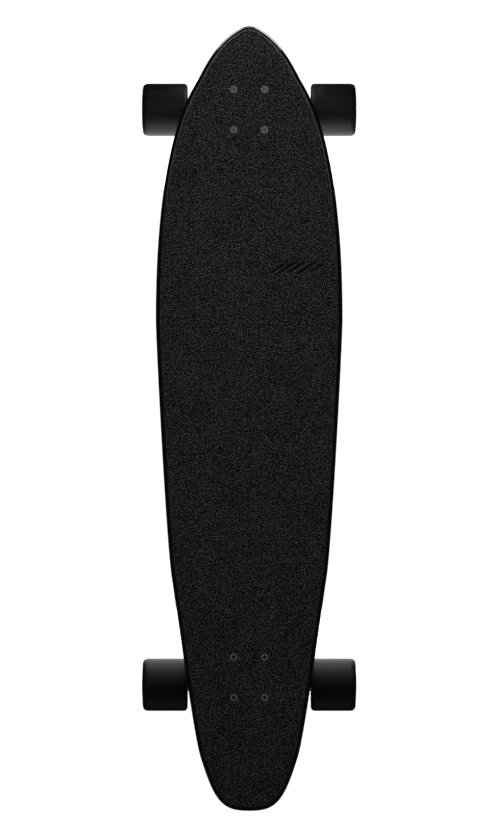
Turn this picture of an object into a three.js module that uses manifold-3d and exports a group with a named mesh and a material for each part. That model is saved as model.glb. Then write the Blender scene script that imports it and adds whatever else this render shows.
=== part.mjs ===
// Electric longboard: a flat pintail deck on two reverse-kingpin trucks, with the battery and the
// speed controller in a tray under the deck and a hub motor in each rear wheel.
// Millimetres. +Z is up, +Y is towards the nose, and the origin is on the floor under mid-length.

import * as THREE from "three";
import { mergeVertices } from "three/addons/utils/BufferGeometryUtils.js";
import Module from "manifold-3d";

const wasm = await Module();
wasm.setup();

// Clearance left between pieces that touch.
const GAP = 0.3;

// Deck
const DECK_LENGTH = 1050;
const DECK_HALF_WIDTH = 125;
// Right half of the outline from tail to nose: each curve's two handles and its end.
const DECK_CURVES = [
  [[34, -DECK_LENGTH / 2], [46.5, -516], [66, -450]],
  [[74.5, -421], [99, -242], [103.6, -213]],
  [[111, -166], [DECK_HALF_WIDTH, 106], [DECK_HALF_WIDTH, 133]],
  [[DECK_HALF_WIDTH, 379], [76, 438], [67, 456]],
  [[53, 484], [37, 508.5], [12, 522]],
  [[8.5, 524], [4.5, DECK_LENGTH / 2], [0, DECK_LENGTH / 2]],
];
const OUTLINE_STEPS = 6;
const DECK_THICKNESS = 12.5;
const RAIL_RADIUS = 5.5;
const GRIP_THICKNESS = 1;
const GRIP_INSET = 5.5;

// Wheels
const WHEEL_RADIUS = 35.5;
const WHEEL_WIDTH = 62;
const WHEEL_TRACK = 228.6;
const FACE_BULGE = { depth: 1.3, radius: 28, power: 2.5 };
const TYRE = { faceEdge: 30, shoulder: [33.4, 27.6], treadFront: 23, backRim: 33.9, backEdge: 29.5 };
const WHEEL_SIDES = 32;
const CORE = { radius: 17, mouth: 14.6, bore: 9, back: -17, front: 24 };
const BEARING_WIDTH = 7;
const BEARING_RADIUS = 11;
const BEARING_SPACING = 10;
const CAN = { radius: 26, back: -26, front: 17.5, wall: 3.8 };
const COVER_DISH = { radius: 13, depth: 7, flat: 15 };
const STATOR_TEETH = 12;

// Trucks
const TRUCK_HEIGHT = 67;
const RISER_THICKNESS = 6;
const STEER_ANGLE = Math.PI / 4;
const BOLTS_ACROSS = 41.275;
const BOLTS_ALONG = 53.975;
const BOLT_LENGTH = 31.75;
const BOLT_RADIUS = 2.4;
const BOLT_HEAD_RADIUS = 5;
const BOLT_HEAD_DEPTH = { drop: 0.2, rim: 1.2, cone: 3.8 };
const FRONT_TRUCK = { boltsY: 413, outboard: 1, axleOffset: 4.6 };
const REAR_TRUCK = { boltsY: -346, outboard: -1, axleOffset: 14.1 };
const FLANGE = { width: 58, length: 86, thickness: 6.5 };
const FRONT_AXLE_RADIUS = 4;
const FRONT_AXLE_OVERHANG = 21;
const REAR_AXLE_RADIUS = 6;

// Steering gear of a truck, seen from the side: [outboard of the axle, above the axle].
const PIVOT = new THREE.Vector2(-20, 8);
const PIVOT_TO_RING = 41;
const RING = { radius: 15, half: 5, bore: 7.5 };
const KINGPIN_RADIUS = 4.76;
const BOARDSIDE_BUSHING = { radius: 13, height: 15 };
const ROADSIDE_BUSHING = { radius: 12, tip: 10.2, height: 11 };
const CUP_WASHER = { radius: 11.5, height: 1.5 };
const KINGPIN_NUT = { corner: 8.1, height: 7 };
const KINGPIN_HEAD = { radius: 7.5, height: 5, pocket: 8.2 };
const KINGPIN_TIP = 28;
const HOUSING = { halfWidth: 14, throat: [-18, 34], heel: [-44, 34], rear: -46 };
const WING = { front: 3.5, back: 5.5, topHalf: 14, height: 28 };
const WING_HALF = { front: 74, rear: 66 };
const NUB = { root: 6.5, neck: 4.4 };
const BEAM = { radius: 11, waist: 9.5, end: 8.5 };
const REAR_BAR = { size: 22, corner: 5 };
const MOTOR_FLANGE = { radius: 18, from: 71, to: 78, neckEnd: 85.5 };
const AXLE_NUT_WALL = 3.6;
const BALL_RADIUS = 6;
const CUP = { radius: 8.6, bore: 6.4, mouth: 2.5, depth: 9.5 };

// Electronics tray under the deck
const TRAY = { width: 164, length: 500, depth: 38, wall: 3, corner: 26, bottomBevel: 9 };
const TRAY_LIP = 10;
const GASKET_THICKNESS = 2;
const PORT_Y = -205;
const BUTTON_Y = -160;
const PORT_DROP = 14.5;
const PORT = { radius: 8, flange: 11, flangeTop: 2.2, bore: 5.2, boreDepth: 12, depth: 16 };
const COVER = { radius: 11.5, top: 5.2 };
const HINGE = { out: 4.6, ahead: 15, pin: 1, knuckle: 2.3, halfLength: 5 };
const BUTTON = { radius: 7.5, depth: 6, top: 3 };
const BATTERY = { rows: 10, cellRadius: 10.8, pitch: 21.2, width: 142, y: 118, lift: 12 };
const SINK = { y: -145, width: 84, length: 104, thickness: 3, window: [72, 92], fins: 11 };
const CONTROLLER = { width: 76, length: 96, height: 22 };
const CABLE_RADIUS = 3.4;
const GLAND_X = 32;
const GLAND_DROP = 16;

// Heights above the floor
const AXLE_Z = WHEEL_RADIUS;
const DECK_BOTTOM = AXLE_Z + TRUCK_HEIGHT + RISER_THICKNESS;
const DECK_TOP = DECK_BOTTOM + DECK_THICKNESS;
const GRIP_TOP = DECK_TOP + GRIP_THICKNESS;
const TRAY_TOP = DECK_BOTTOM - GASKET_THICKNESS;
const TRAY_BOTTOM = TRAY_TOP - TRAY.depth;
const PORT_Z = TRAY_TOP - PORT_DROP;
const GLAND_Z = TRAY_TOP - GLAND_DROP;

const finishes = {
  lacquer: { color: 0x0b0b0c, roughness: 0.2, metalness: 0 },
  grip: { color: 0x1d1c1c, roughness: 0.97, metalness: 0 },
  urethane: { color: 0x141414, roughness: 0.45, metalness: 0 },
  plastic: { color: 0x19191a, roughness: 0.55, metalness: 0 },
  rubber: { color: 0x1c1c1c, roughness: 0.85, metalness: 0 },
  blackMetal: { color: 0x1a1a1b, roughness: 0.4, metalness: 0.7 },
  steel: { color: 0xa9a9a6, roughness: 0.32, metalness: 1 },
  darkSteel: { color: 0x4a4744, roughness: 0.38, metalness: 1 },
  aluminium: { color: 0xb4b6b8, roughness: 0.4, metalness: 1 },
  bushing: { color: 0x6d2a22, roughness: 0.5, metalness: 0 },
  copper: { color: 0xa8643a, roughness: 0.4, metalness: 0.8 },
  wrap: { color: 0x2a4f86, roughness: 0.35, metalness: 0 },
};

const board = new THREE.Group();

function addPiece(parent, name, geometry, finish) {
  geometry.computeVertexNormals();
  const mesh = new THREE.Mesh(geometry, new THREE.MeshStandardMaterial(finishes[finish]));
  mesh.name = name;
  parent.add(mesh);
  return mesh;
}

// Booleans

function solidFrom(geometry) {
  const bare = geometry.clone();
  bare.deleteAttribute("normal");
  bare.deleteAttribute("uv");
  const merged = mergeVertices(bare, 1e-3);
  return new wasm.Manifold(
    new wasm.Mesh({
      numProp: 3,
      vertProperties: merged.attributes.position.array,
      triVerts: new Uint32Array(merged.index.array),
    }),
  );
}

function geometryFrom(solid) {
  const { vertProperties, triVerts } = solid.getMesh();
  const geometry = new THREE.BufferGeometry();
  geometry.setAttribute("position", new THREE.BufferAttribute(vertProperties, 3));
  geometry.setIndex(new THREE.BufferAttribute(triVerts, 1));
  return geometry.toNonIndexed();
}

function join(...geometries) {
  const [first, ...rest] = geometries.map(solidFrom);
  return geometryFrom(rest.reduce((whole, piece) => whole.add(piece), first));
}

function cut(geometry, ...tools) {
  return geometryFrom(tools.reduce((left, tool) => left.subtract(solidFrom(tool)), solidFrom(geometry)));
}

// Shape helpers

// A solid of revolution about Z from [radius, z] points.
// A ring's profile is closed on itself; any other starts and ends on the axis.
function revolve(profile, { sides = 16, flatDown = false, ring = false } = {}) {
  const points = profile.map(([r, z]) => new THREE.Vector2(r, z));
  if (THREE.ShapeUtils.area(points) < 0) points.reverse();
  if (ring) points.push(points[0].clone());
  const phase = flatDown ? Math.PI / sides : 0;
  return new THREE.LatheGeometry(points, sides, phase).rotateX(Math.PI / 2);
}

// A cylinder along Z between two heights.
function rod(radius, low, high, sides = 16) {
  return revolve([[0, low], [radius, low], [radius, high], [0, high]], { sides });
}

function box(low, high) {
  const size = high.map((value, axis) => value - low[axis]);
  const centre = high.map((value, axis) => (value + low[axis]) / 2);
  return new THREE.BoxGeometry(...size).translate(...centre);
}

function roundedRectangle(width, length, corner) {
  const [x, y] = [width / 2, length / 2];
  const shape = new THREE.Shape();
  shape.moveTo(x, -y + corner);
  shape.lineTo(x, y - corner);
  shape.absarc(x - corner, y - corner, corner, 0, Math.PI / 2);
  shape.lineTo(-x + corner, y);
  shape.absarc(-x + corner, y - corner, corner, Math.PI / 2, Math.PI);
  shape.lineTo(-x, -y + corner);
  shape.absarc(-x + corner, -y + corner, corner, Math.PI, 1.5 * Math.PI);
  shape.lineTo(x - corner, -y);
  shape.absarc(x - corner, -y + corner, corner, 1.5 * Math.PI, 2 * Math.PI);
  return shape;
}

function plate(shape, low, high, curveSegments = 2) {
  const depth = high - low;
  const geometry = new THREE.ExtrudeGeometry(shape, { depth, bevelEnabled: false, curveSegments });
  return geometry.translate(0, 0, low);
}

// A side profile of [along, up] points, made solid from left to right.
function extrudeAcross(shape, halfWidth, curveSegments) {
  const across = new THREE.Vector3(1, 0, 0);
  const along = new THREE.Vector3(0, 1, 0);
  const up = new THREE.Vector3(0, 0, 1);
  const turn = new THREE.Matrix4().makeBasis(along, up, across);
  return plate(shape, -halfWidth, halfWidth, curveSegments).applyMatrix4(turn);
}

// A hexagonal nut along Z, from its corner radius.
function hexagonNut(corner, bore, low, high) {
  const corners = [];
  for (let i = 0; i < 6; i += 1)
    corners.push(new THREE.Vector2(corner, 0).rotateAround(new THREE.Vector2(), (i * Math.PI) / 3));
  const hexagon = new THREE.Shape(corners);
  hexagon.holes.push(new THREE.Path().absarc(0, 0, bore, 0, 2 * Math.PI, true));
  return plate(hexagon, low, high, 6);
}

// Turns a piece made along Z to lie along X, pointing to the given side.
function alongX(geometry, side = 1) {
  return geometry.rotateY((side * Math.PI) / 2);
}

// Places a piece made along Z on a line in a truck's side view.
function alongLine(geometry, start, direction) {
  const turn = Math.atan2(-direction.x, direction.y);
  return geometry.rotateX(turn).translate(0, start.x, start.y);
}

// Steering geometry, in a truck's side view [outboard, up] with the axle at the origin.
const steerAxis = new THREE.Vector2(Math.cos(STEER_ANGLE), Math.sin(STEER_ANGLE));
const kingpinDown = new THREE.Vector2(Math.sin(STEER_ANGLE), -Math.cos(STEER_ANGLE));
const ringCentre = PIVOT.clone().addScaledVector(steerAxis, PIVOT_TO_RING);
const seatDistance = RING.half + GAP + BOARDSIDE_BUSHING.height + GAP;
const seatCentre = ringCentre.clone().addScaledVector(kingpinDown, -seatDistance);
const nubRoot = new THREE.Vector2(-6, -3);
const nubDirection = PIVOT.clone().sub(nubRoot).normalize();

// Deck and grip tape

function deckOutline() {
  const shape = new THREE.Shape();
  shape.moveTo(0, -DECK_LENGTH / 2);
  for (const [first, second, end] of DECK_CURVES) shape.bezierCurveTo(...first, ...second, ...end);
  const mirrored = ([x, y]) => [-x, y];
  for (let i = DECK_CURVES.length - 1; i >= 0; i -= 1) {
    const [first, second] = DECK_CURVES[i];
    const end = i > 0 ? DECK_CURVES[i - 1][2] : [0, -DECK_LENGTH / 2];
    shape.bezierCurveTo(...mirrored(second), ...mirrored(first), ...mirrored(end));
  }
  return shape;
}

// The deck's outline moved inwards by a distance, as points.
function insetOutline(distance) {
  const points = deckOutline().getPoints(OUTLINE_STEPS);
  points.pop();
  return points.map((point, i) => {
    const before = points.at(i - 1);
    const after = points[(i + 1) % points.length];
    const along = after.clone().sub(before).normalize();
    return new THREE.Vector2(point.x - along.y * distance, point.y + along.x * distance);
  });
}

function boltPlaces(truck) {
  const places = [];
  for (const alongStep of [0.5, -0.5])
    for (const acrossStep of [-0.5, 0.5])
      places.push([acrossStep * BOLTS_ACROSS, truck.boltsY + alongStep * BOLTS_ALONG]);
  return places;
}

const everyBolt = [...boltPlaces(FRONT_TRUCK), ...boltPlaces(REAR_TRUCK)];

// A countersunk bolt, or with some clearance the hole for it. Its top is at headTop over the grip.
function boltBody(clearance, headTop) {
  const head = BOLT_HEAD_RADIUS + clearance;
  const shank = BOLT_RADIUS + clearance;
  const top = GRIP_TOP + headTop;
  const profile = [
    [0, top],
    [head, top],
    [head, GRIP_TOP - BOLT_HEAD_DEPTH.rim],
    [shank, GRIP_TOP - BOLT_HEAD_DEPTH.cone],
    [shank, GRIP_TOP - BOLT_LENGTH],
    [0, GRIP_TOP - BOLT_LENGTH],
  ];
  return revolve(profile, { sides: 12 });
}

function boltHoles() {
  return everyBolt.map(([x, y]) => boltBody(GAP, 5).translate(x, y, 0));
}

function buildDeck() {
  const blank = new THREE.ExtrudeGeometry(deckOutline(), {
    depth: DECK_THICKNESS - 2 * RAIL_RADIUS,
    bevelThickness: RAIL_RADIUS,
    bevelSize: RAIL_RADIUS,
    bevelOffset: -RAIL_RADIUS,
    bevelSegments: 2,
    curveSegments: OUTLINE_STEPS,
  }).translate(0, 0, DECK_BOTTOM + RAIL_RADIUS);
  addPiece(board, "deck", cut(blank, ...boltHoles()), "lacquer");

  const gripShape = new THREE.Shape(insetOutline(GRIP_INSET));
  const sheet = plate(gripShape, DECK_TOP + GAP, GRIP_TOP);
  addPiece(board, "grip_tape", cut(sheet, ...boltHoles()), "grip");

  everyBolt.forEach(([x, y], index) => {
    const end = index < 4 ? "front" : "rear";
    const body = boltBody(0, -BOLT_HEAD_DEPTH.drop);
    const bolt = addPiece(board, `${end}_bolt_${(index % 4) + 1}`, body, "darkSteel");
    bolt.position.set(x, y, 0);
  });
}

// Trucks

// A group whose origin is the axle's centre and whose +Y is outboard.
function truckFrame(truck) {
  const frame = new THREE.Group();
  frame.position.set(0, truck.boltsY + truck.outboard * truck.axleOffset, AXLE_Z);
  if (truck.outboard < 0) frame.rotation.z = Math.PI;
  board.add(frame);
  return frame;
}

// In a truck's frame, the place of a point in its side view.
function onSide(point, direction, distance = 0) {
  return point.clone().addScaledVector(direction, distance);
}

function riserPad(truck) {
  const shape = roundedRectangle(FLANGE.width, FLANGE.length, 6);
  const pad = plate(shape, TRUCK_HEIGHT + GAP, TRUCK_HEIGHT + RISER_THICKNESS - GAP);
  pad.translate(0, -truck.axleOffset, 0);
  return cut(pad, ...baseplateHoles(truck));
}

function baseplateHoles(truck) {
  const holes = [];
  for (const x of [-BOLTS_ACROSS / 2, BOLTS_ACROSS / 2])
    for (const y of [-BOLTS_ALONG / 2, BOLTS_ALONG / 2])
      holes.push(rod(BOLT_RADIUS + GAP, 40, 90, 12).translate(x, y - truck.axleOffset, 0));
  return holes;
}

function baseplate(truck) {
  const flangeShape = roundedRectangle(FLANGE.width, FLANGE.length, 6);
  const flangeBottom = TRUCK_HEIGHT - FLANGE.thickness;
  const flange = plate(flangeShape, flangeBottom, TRUCK_HEIGHT).translate(0, -truck.axleOffset, 0);

  const seatHalf = BOARDSIDE_BUSHING.radius + 1.5;
  const mouth = onSide(PIVOT, nubDirection, -CUP.mouth);
  const acrossMouth = new THREE.Vector2(nubDirection.y, -nubDirection.x);
  const towerHalf = CUP.radius + 2.6;
  const heel = onSide(onSide(mouth, nubDirection, 16), acrossMouth, -towerHalf);
  const profile = [
    onSide(seatCentre, steerAxis, seatHalf),
    onSide(seatCentre, steerAxis, -seatHalf),
    new THREE.Vector2(...HOUSING.throat),
    onSide(mouth, acrossMouth, towerHalf),
    onSide(mouth, acrossMouth, -towerHalf),
    heel,
    new THREE.Vector2(...HOUSING.heel),
    new THREE.Vector2(HOUSING.rear, flangeBottom + 1),
  ];
  const housing = extrudeAcross(new THREE.Shape(profile), HOUSING.halfWidth);

  const cupPocket = alongLine(rod(CUP.radius + GAP, -30, CUP.depth + GAP), PIVOT, nubDirection);
  const kingpinBore = alongLine(rod(KINGPIN_RADIUS + GAP, -40, 0), ringCentre, kingpinDown);
  const headPocket = alongLine(rod(KINGPIN_HEAD.pocket, -70, -seatDistance - 8.6), ringCentre, kingpinDown);
  const solid = cut(join(flange, housing), cupPocket, kingpinBore, headPocket);
  return cut(solid, ...baseplateHoles(truck));
}

function pivotCup() {
  const profile = [
    [0, CUP.depth],
    [CUP.radius, CUP.depth],
    [CUP.radius, -CUP.mouth],
    [CUP.bore, -CUP.mouth],
    [CUP.bore, 0],
    [5.6, 3.2],
    [3.2, 5.6],
    [0, 6.5],
  ];
  return alongLine(revolve(profile), PIVOT, nubDirection);
}

// Pieces stacked on the kingpin, along its own line from the middle of the hanger's ring.
function kingpin() {
  const head = -seatDistance - 9;
  const { radius, height } = KINGPIN_HEAD;
  const profile = [
    [0, head - height],
    [radius, head - height],
    [radius, head],
    [KINGPIN_RADIUS, head],
    [KINGPIN_RADIUS, KINGPIN_TIP],
    [0, KINGPIN_TIP],
  ];
  return revolve(profile);
}

function bushing(lowRadius, highRadius, low, high) {
  const bore = KINGPIN_RADIUS + GAP;
  return revolve([[bore, low], [lowRadius, low], [highRadius, high], [bore, high]], { ring: true });
}

// The cast wing and ring that both hangers share.
function hangerYoke(wingHalf) {
  const { front, back, topHalf, height } = WING;
  const corners = [[-wingHalf, 0], [wingHalf, 0], [topHalf, height], [-topHalf, height]];
  const wing = new THREE.Shape(corners.map(([x, h]) => new THREE.Vector2(x, h)));
  const wingPlate = plate(wing, -front, back).rotateX(Math.PI / 2);
  const ring = alongLine(rod(RING.radius, -RING.half, RING.half, 20), ringCentre, kingpinDown);
  const reach = PIVOT.distanceTo(nubRoot);
  const { root, neck } = NUB;
  const nub = revolve([[0, 0], [root, 0], [neck, reach - 3], [neck, reach], [0, reach]], { sides: 12 });
  const ball = new THREE.SphereGeometry(BALL_RADIUS, 10, 6).translate(0, 0, reach);
  return [wingPlate, ring, alongLine(nub, nubRoot, nubDirection), alongLine(ball, nubRoot, nubDirection)];
}

function ringBore() {
  return alongLine(rod(RING.bore, -25, 25), ringCentre, kingpinDown);
}

function frontHanger() {
  const frontHangerEnd = WHEEL_TRACK / 2 - BEARING_SPACING / 2 - BEARING_WIDTH - 0.8;
  const profile = [
    [0, -frontHangerEnd],
    [BEAM.end, -frontHangerEnd],
    [BEAM.waist, -60],
    [BEAM.radius, -26],
    [BEAM.radius, 26],
    [BEAM.waist, 60],
    [BEAM.end, frontHangerEnd],
    [0, frontHangerEnd],
  ];
  const beam = alongX(revolve(profile));
  const axleBore = alongX(rod(FRONT_AXLE_RADIUS + GAP, -150, 150));
  return cut(join(beam, ...hangerYoke(WING_HALF.front)), ringBore(), axleBore);
}

function rearHanger() {
  const { size, corner } = REAR_BAR;
  const bar = plate(roundedRectangle(size, size, corner), -MOTOR_FLANGE.to, MOTOR_FLANGE.to, 1);
  const pieces = [alongX(bar)];
  for (const side of [-1, 1]) {
    pieces.push(alongX(rod(MOTOR_FLANGE.radius, MOTOR_FLANGE.from, MOTOR_FLANGE.to, 20), side));
    pieces.push(alongX(rod(BEAM.end, MOTOR_FLANGE.from, MOTOR_FLANGE.neckEnd), side));
  }
  const axleBore = alongX(rod(REAR_AXLE_RADIUS + GAP, -150, 150));
  return cut(join(...pieces, ...hangerYoke(WING_HALF.rear)), ringBore(), axleBore);
}

// Wheels, made along Z with +Z outboard and the wheel's centre at the origin.

// The face bulges out towards the wheel's middle.
function faceHeight(radius) {
  return WHEEL_WIDTH / 2 - FACE_BULGE.depth * (radius / FACE_BULGE.radius) ** FACE_BULGE.power;
}

function axleNut(axleRadius, low, high) {
  return hexagonNut(axleRadius + AXLE_NUT_WALL, axleRadius + GAP, low, high);
}

function tyre(boreRadius, inboardBore) {
  const tread = WHEEL_RADIUS / Math.cos(Math.PI / WHEEL_SIDES);
  const back = -WHEEL_WIDTH / 2;
  const profile = [
    [boreRadius, faceHeight(boreRadius)],
    [TYRE.faceEdge, faceHeight(TYRE.faceEdge)],
    TYRE.shoulder,
    [tread, TYRE.treadFront],
    [tread, back + 6],
    [TYRE.backRim, back + 1.8],
    [TYRE.backEdge, back],
    [inboardBore, back],
    [boreRadius, back + (inboardBore - boreRadius) * 2],
  ];
  return revolve(profile, { sides: WHEEL_SIDES, flatDown: true, ring: true });
}

function core() {
  const seat = BEARING_SPACING / 2;
  const hub = seat + BEARING_WIDTH;
  const seatRadius = BEARING_RADIUS + GAP;
  const profile = [
    [CORE.radius, CORE.back],
    [CORE.radius, CORE.front],
    [CORE.mouth, CORE.front],
    [CORE.mouth, hub],
    [seatRadius, hub],
    [seatRadius, seat],
    [CORE.bore, seat],
    [CORE.bore, -seat],
    [seatRadius, -seat],
    [seatRadius, -hub],
    [CORE.mouth, -hub],
    [CORE.mouth, CORE.back],
  ];
  return revolve(profile, { sides: 20, ring: true });
}

function bearing(low) {
  const profile = [
    [FRONT_AXLE_RADIUS + GAP, low],
    [BEARING_RADIUS, low],
    [BEARING_RADIUS, low + BEARING_WIDTH],
    [FRONT_AXLE_RADIUS + GAP, low + BEARING_WIDTH],
  ];
  return revolve(profile, { ring: true });
}

function rotorCan() {
  const profile = [
    [REAR_AXLE_RADIUS + 0.6, CAN.back],
    [CAN.radius, CAN.back],
    [CAN.radius, CAN.front],
    [CAN.radius - CAN.wall, CAN.front],
    [CAN.radius - CAN.wall, CAN.back + 3.5],
    [REAR_AXLE_RADIUS + 0.6, CAN.back + 3.5],
  ];
  return revolve(profile, { sides: 24, ring: true });
}

function motorCover() {
  const low = CAN.front + GAP;
  const rim = CAN.radius;
  const profile = [
    [0, low + COVER_DISH.depth],
    [COVER_DISH.radius, low + COVER_DISH.depth],
    [COVER_DISH.radius, low],
    [rim, low],
    [rim, faceHeight(rim) - 2],
    [rim - 1.8, faceHeight(rim) - 0.4],
    [COVER_DISH.flat, faceHeight(COVER_DISH.flat)],
    [0, faceHeight(0)],
  ];
  return revolve(profile, { sides: 20 });
}

function stator() {
  const [slot, tooth] = [CAN.radius / 2, CAN.radius - CAN.wall - 0.7];
  const steps = [[-0.3, slot], [-0.3, tooth], [0.3, tooth], [0.3, slot]];
  const outline = [];
  for (let i = 0; i < STATOR_TEETH; i += 1)
    for (const [share, radius] of steps) {
      const angle = ((i + share) * 2 * Math.PI) / STATOR_TEETH;
      outline.push(new THREE.Vector2(radius * Math.cos(angle), radius * Math.sin(angle)));
    }
  const lamination = new THREE.Shape(outline);
  lamination.holes.push(new THREE.Path().absarc(0, 0, REAR_AXLE_RADIUS + GAP, 0, 2 * Math.PI, true));
  return plate(lamination, CAN.back + 5, CAN.front - 3.5, 7);
}

// In the rear truck's turned frame, +X is the board's left.
function sideName(truck, side) {
  return side * truck.outboard > 0 ? "right" : "left";
}

function buildTruck(end, truck) {
  const frame = truckFrame(truck);
  addPiece(frame, `${end}_riser_pad`, riserPad(truck), "rubber");
  addPiece(frame, `${end}_baseplate`, baseplate(truck), "blackMetal");
  addPiece(frame, `${end}_pivot_cup`, pivotCup(), "plastic");

  const line = new THREE.Group();
  line.position.set(0, ringCentre.x, ringCentre.y);
  line.rotation.x = Math.PI + STEER_ANGLE;
  frame.add(line);
  const boardside = [-seatDistance + GAP, -RING.half - GAP];
  const roadside = [RING.half + GAP, RING.half + GAP + ROADSIDE_BUSHING.height];
  const washer = [roadside[1] + GAP, roadside[1] + GAP + CUP_WASHER.height];
  const { radius } = BOARDSIDE_BUSHING;
  const { radius: wide, tip } = ROADSIDE_BUSHING;
  addPiece(line, `${end}_kingpin`, kingpin(), "darkSteel");
  addPiece(line, `${end}_boardside_bushing`, bushing(radius, radius, ...boardside), "bushing");
  addPiece(line, `${end}_roadside_bushing`, bushing(wide, tip, ...roadside), "bushing");
  addPiece(line, `${end}_cup_washer`, bushing(CUP_WASHER.radius, CUP_WASHER.radius, ...washer), "steel");
  const nutLow = washer[1] + GAP;
  const nut = hexagonNut(KINGPIN_NUT.corner, KINGPIN_RADIUS + GAP, nutLow, nutLow + KINGPIN_NUT.height);
  addPiece(line, `${end}_kingpin_nut`, nut, "steel");
  return frame;
}

function buildFrontTruck() {
  const frame = buildTruck("front", FRONT_TRUCK);
  addPiece(frame, "front_hanger", frontHanger(), "blackMetal");
  const axleHalf = WHEEL_TRACK / 2 + FRONT_AXLE_OVERHANG;
  addPiece(frame, "front_axle", alongX(rod(FRONT_AXLE_RADIUS, -axleHalf, axleHalf)), "steel");
  for (const side of [-1, 1]) {
    const name = `front_${sideName(FRONT_TRUCK, side)}`;
    const wheel = new THREE.Group();
    wheel.position.x = (side * WHEEL_TRACK) / 2;
    frame.add(wheel);
    const seat = BEARING_SPACING / 2;
    addPiece(wheel, `${name}_tyre`, alongX(tyre(CORE.radius + GAP, 24), side), "urethane");
    addPiece(wheel, `${name}_core`, alongX(core(), side), "plastic");
    addPiece(wheel, `${name}_bearing_inner`, alongX(bearing(-seat - BEARING_WIDTH), side), "steel");
    addPiece(wheel, `${name}_bearing_outer`, alongX(bearing(seat), side), "steel");
    const nutLow = seat + BEARING_WIDTH + 1;
    const nut = axleNut(FRONT_AXLE_RADIUS, nutLow, nutLow + 6);
    addPiece(wheel, `${name}_axle_nut`, alongX(nut, side), "steel");
  }
}

function buildRearTruck() {
  const frame = buildTruck("rear", REAR_TRUCK);
  addPiece(frame, "rear_hanger", rearHanger(), "blackMetal");
  const axleHalf = WHEEL_TRACK / 2 + CAN.front + 5;
  addPiece(frame, "rear_axle", alongX(rod(REAR_AXLE_RADIUS, -axleHalf, axleHalf)), "steel");
  for (const side of [-1, 1]) {
    const name = `rear_${sideName(REAR_TRUCK, side)}`;
    const wheel = new THREE.Group();
    wheel.position.x = (side * WHEEL_TRACK) / 2;
    frame.add(wheel);
    addPiece(wheel, `${name}_tyre`, alongX(tyre(CAN.radius + GAP, CAN.radius + 2), side), "urethane");
    addPiece(wheel, `${name}_rotor_can`, alongX(rotorCan(), side), "blackMetal");
    addPiece(wheel, `${name}_motor_cover`, alongX(motorCover(), side), "plastic");
    addPiece(wheel, `${name}_stator`, alongX(stator(), side), "copper");
    const nut = axleNut(REAR_AXLE_RADIUS, CAN.front - 3, CAN.front + 2);
    addPiece(wheel, `${name}_axle_nut`, alongX(nut, side), "steel");
  }
}

// Electronics tray and what it holds

function trayBlock(inset, bottom, top) {
  const { width, length, corner, bottomBevel } = TRAY;
  const shape = roundedRectangle(width - 2 * inset, length - 2 * inset, corner - inset);
  const bevel = bottomBevel - inset;
  const block = new THREE.ExtrudeGeometry(shape, {
    depth: top - bottom,
    bevelThickness: bevel,
    bevelSize: bevel,
    bevelOffset: -bevel,
    bevelSegments: 2,
    curveSegments: 2,
  }).translate(0, 0, bottom + bevel);
  return cut(block, box([-200, -400, top], [200, 400, top + 40]));
}

// A point on the tray's right wall, for a piece made along Z that points out of it.
function onRightWall(geometry, y) {
  return alongX(geometry).translate(TRAY.width / 2, y, PORT_Z);
}

function coverHingeLugs() {
  const x = TRAY.width / 2;
  const y = PORT_Y + HINGE.ahead;
  const pieces = [rod(HINGE.pin, PORT_Z - 8, PORT_Z + 8, 10).translate(x + HINGE.out, y, 0)];
  for (const [low, high] of [[-9, -HINGE.halfLength - GAP], [HINGE.halfLength + GAP, 9]])
    pieces.push(box([x - 1, y - 2, PORT_Z + low], [x + HINGE.out + 2, y + 2, PORT_Z + high]));
  return pieces;
}

function enclosure() {
  const { width, length, corner } = TRAY;
  const lipShape = roundedRectangle(width + 2 * TRAY_LIP, length + 2 * TRAY_LIP, corner + TRAY_LIP);
  const lip = plate(lipShape, TRAY_TOP - TRAY.wall, TRAY_TOP);
  const bezel = revolve([[7, -0.5], [10.5, -0.5], [10.5, 0.8], [9.8, 1.4], [7, 1.4]], { ring: true });
  const block = trayBlock(0, TRAY_BOTTOM, TRAY_TOP);
  const shell = join(block, lip, onRightWall(bezel, BUTTON_Y), ...coverHingeLugs());
  const hollow = trayBlock(TRAY.wall, TRAY_BOTTOM + TRAY.wall, TRAY_TOP + 5);
  const [windowX, windowY] = SINK.window;
  const tools = [
    hollow,
    onRightWall(rod(PORT.radius + GAP, -10, 10), PORT_Y),
    onRightWall(rod(BUTTON.radius + GAP, -10, 10, 20), BUTTON_Y),
    box(
      [-windowX / 2, SINK.y - windowY / 2, TRAY_BOTTOM - 5],
      [windowX / 2, SINK.y + windowY / 2, TRAY_BOTTOM + 8],
    ),
  ];
  for (const x of [-GLAND_X, GLAND_X])
    tools.push(rod(CABLE_RADIUS + 0.5, -20, 20).rotateX(Math.PI / 2).translate(x, -TRAY.length / 2, GLAND_Z));
  return cut(shell, ...tools);
}

function gasket() {
  const { width, length, corner, wall } = TRAY;
  const outer = TRAY_LIP - 1;
  const ring = roundedRectangle(width + 2 * outer, length + 2 * outer, corner + outer);
  ring.holes.push(roundedRectangle(width - 2 * wall, length - 2 * wall, corner - wall));
  return plate(ring, TRAY_TOP + GAP, DECK_BOTTOM - GAP);
}

// Cells standing side by side under one wrap, so its top and bottom are scalloped.
function batteryPack() {
  const { rows, cellRadius, pitch, width } = BATTERY;
  const meet = Math.acos(pitch / 2 / cellRadius);
  const outline = new THREE.Shape();
  const rowAt = (row) => (row - (rows - 1) / 2) * pitch;
  for (let row = 0; row < rows; row += 1)
    outline.absarc(rowAt(row), 0, cellRadius, Math.PI - meet, meet, true);
  for (let row = rows - 1; row >= 0; row -= 1)
    outline.absarc(rowAt(row), 0, cellRadius, -meet, meet - Math.PI, true);
  return extrudeAcross(outline, width / 2, 3);
}

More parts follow.
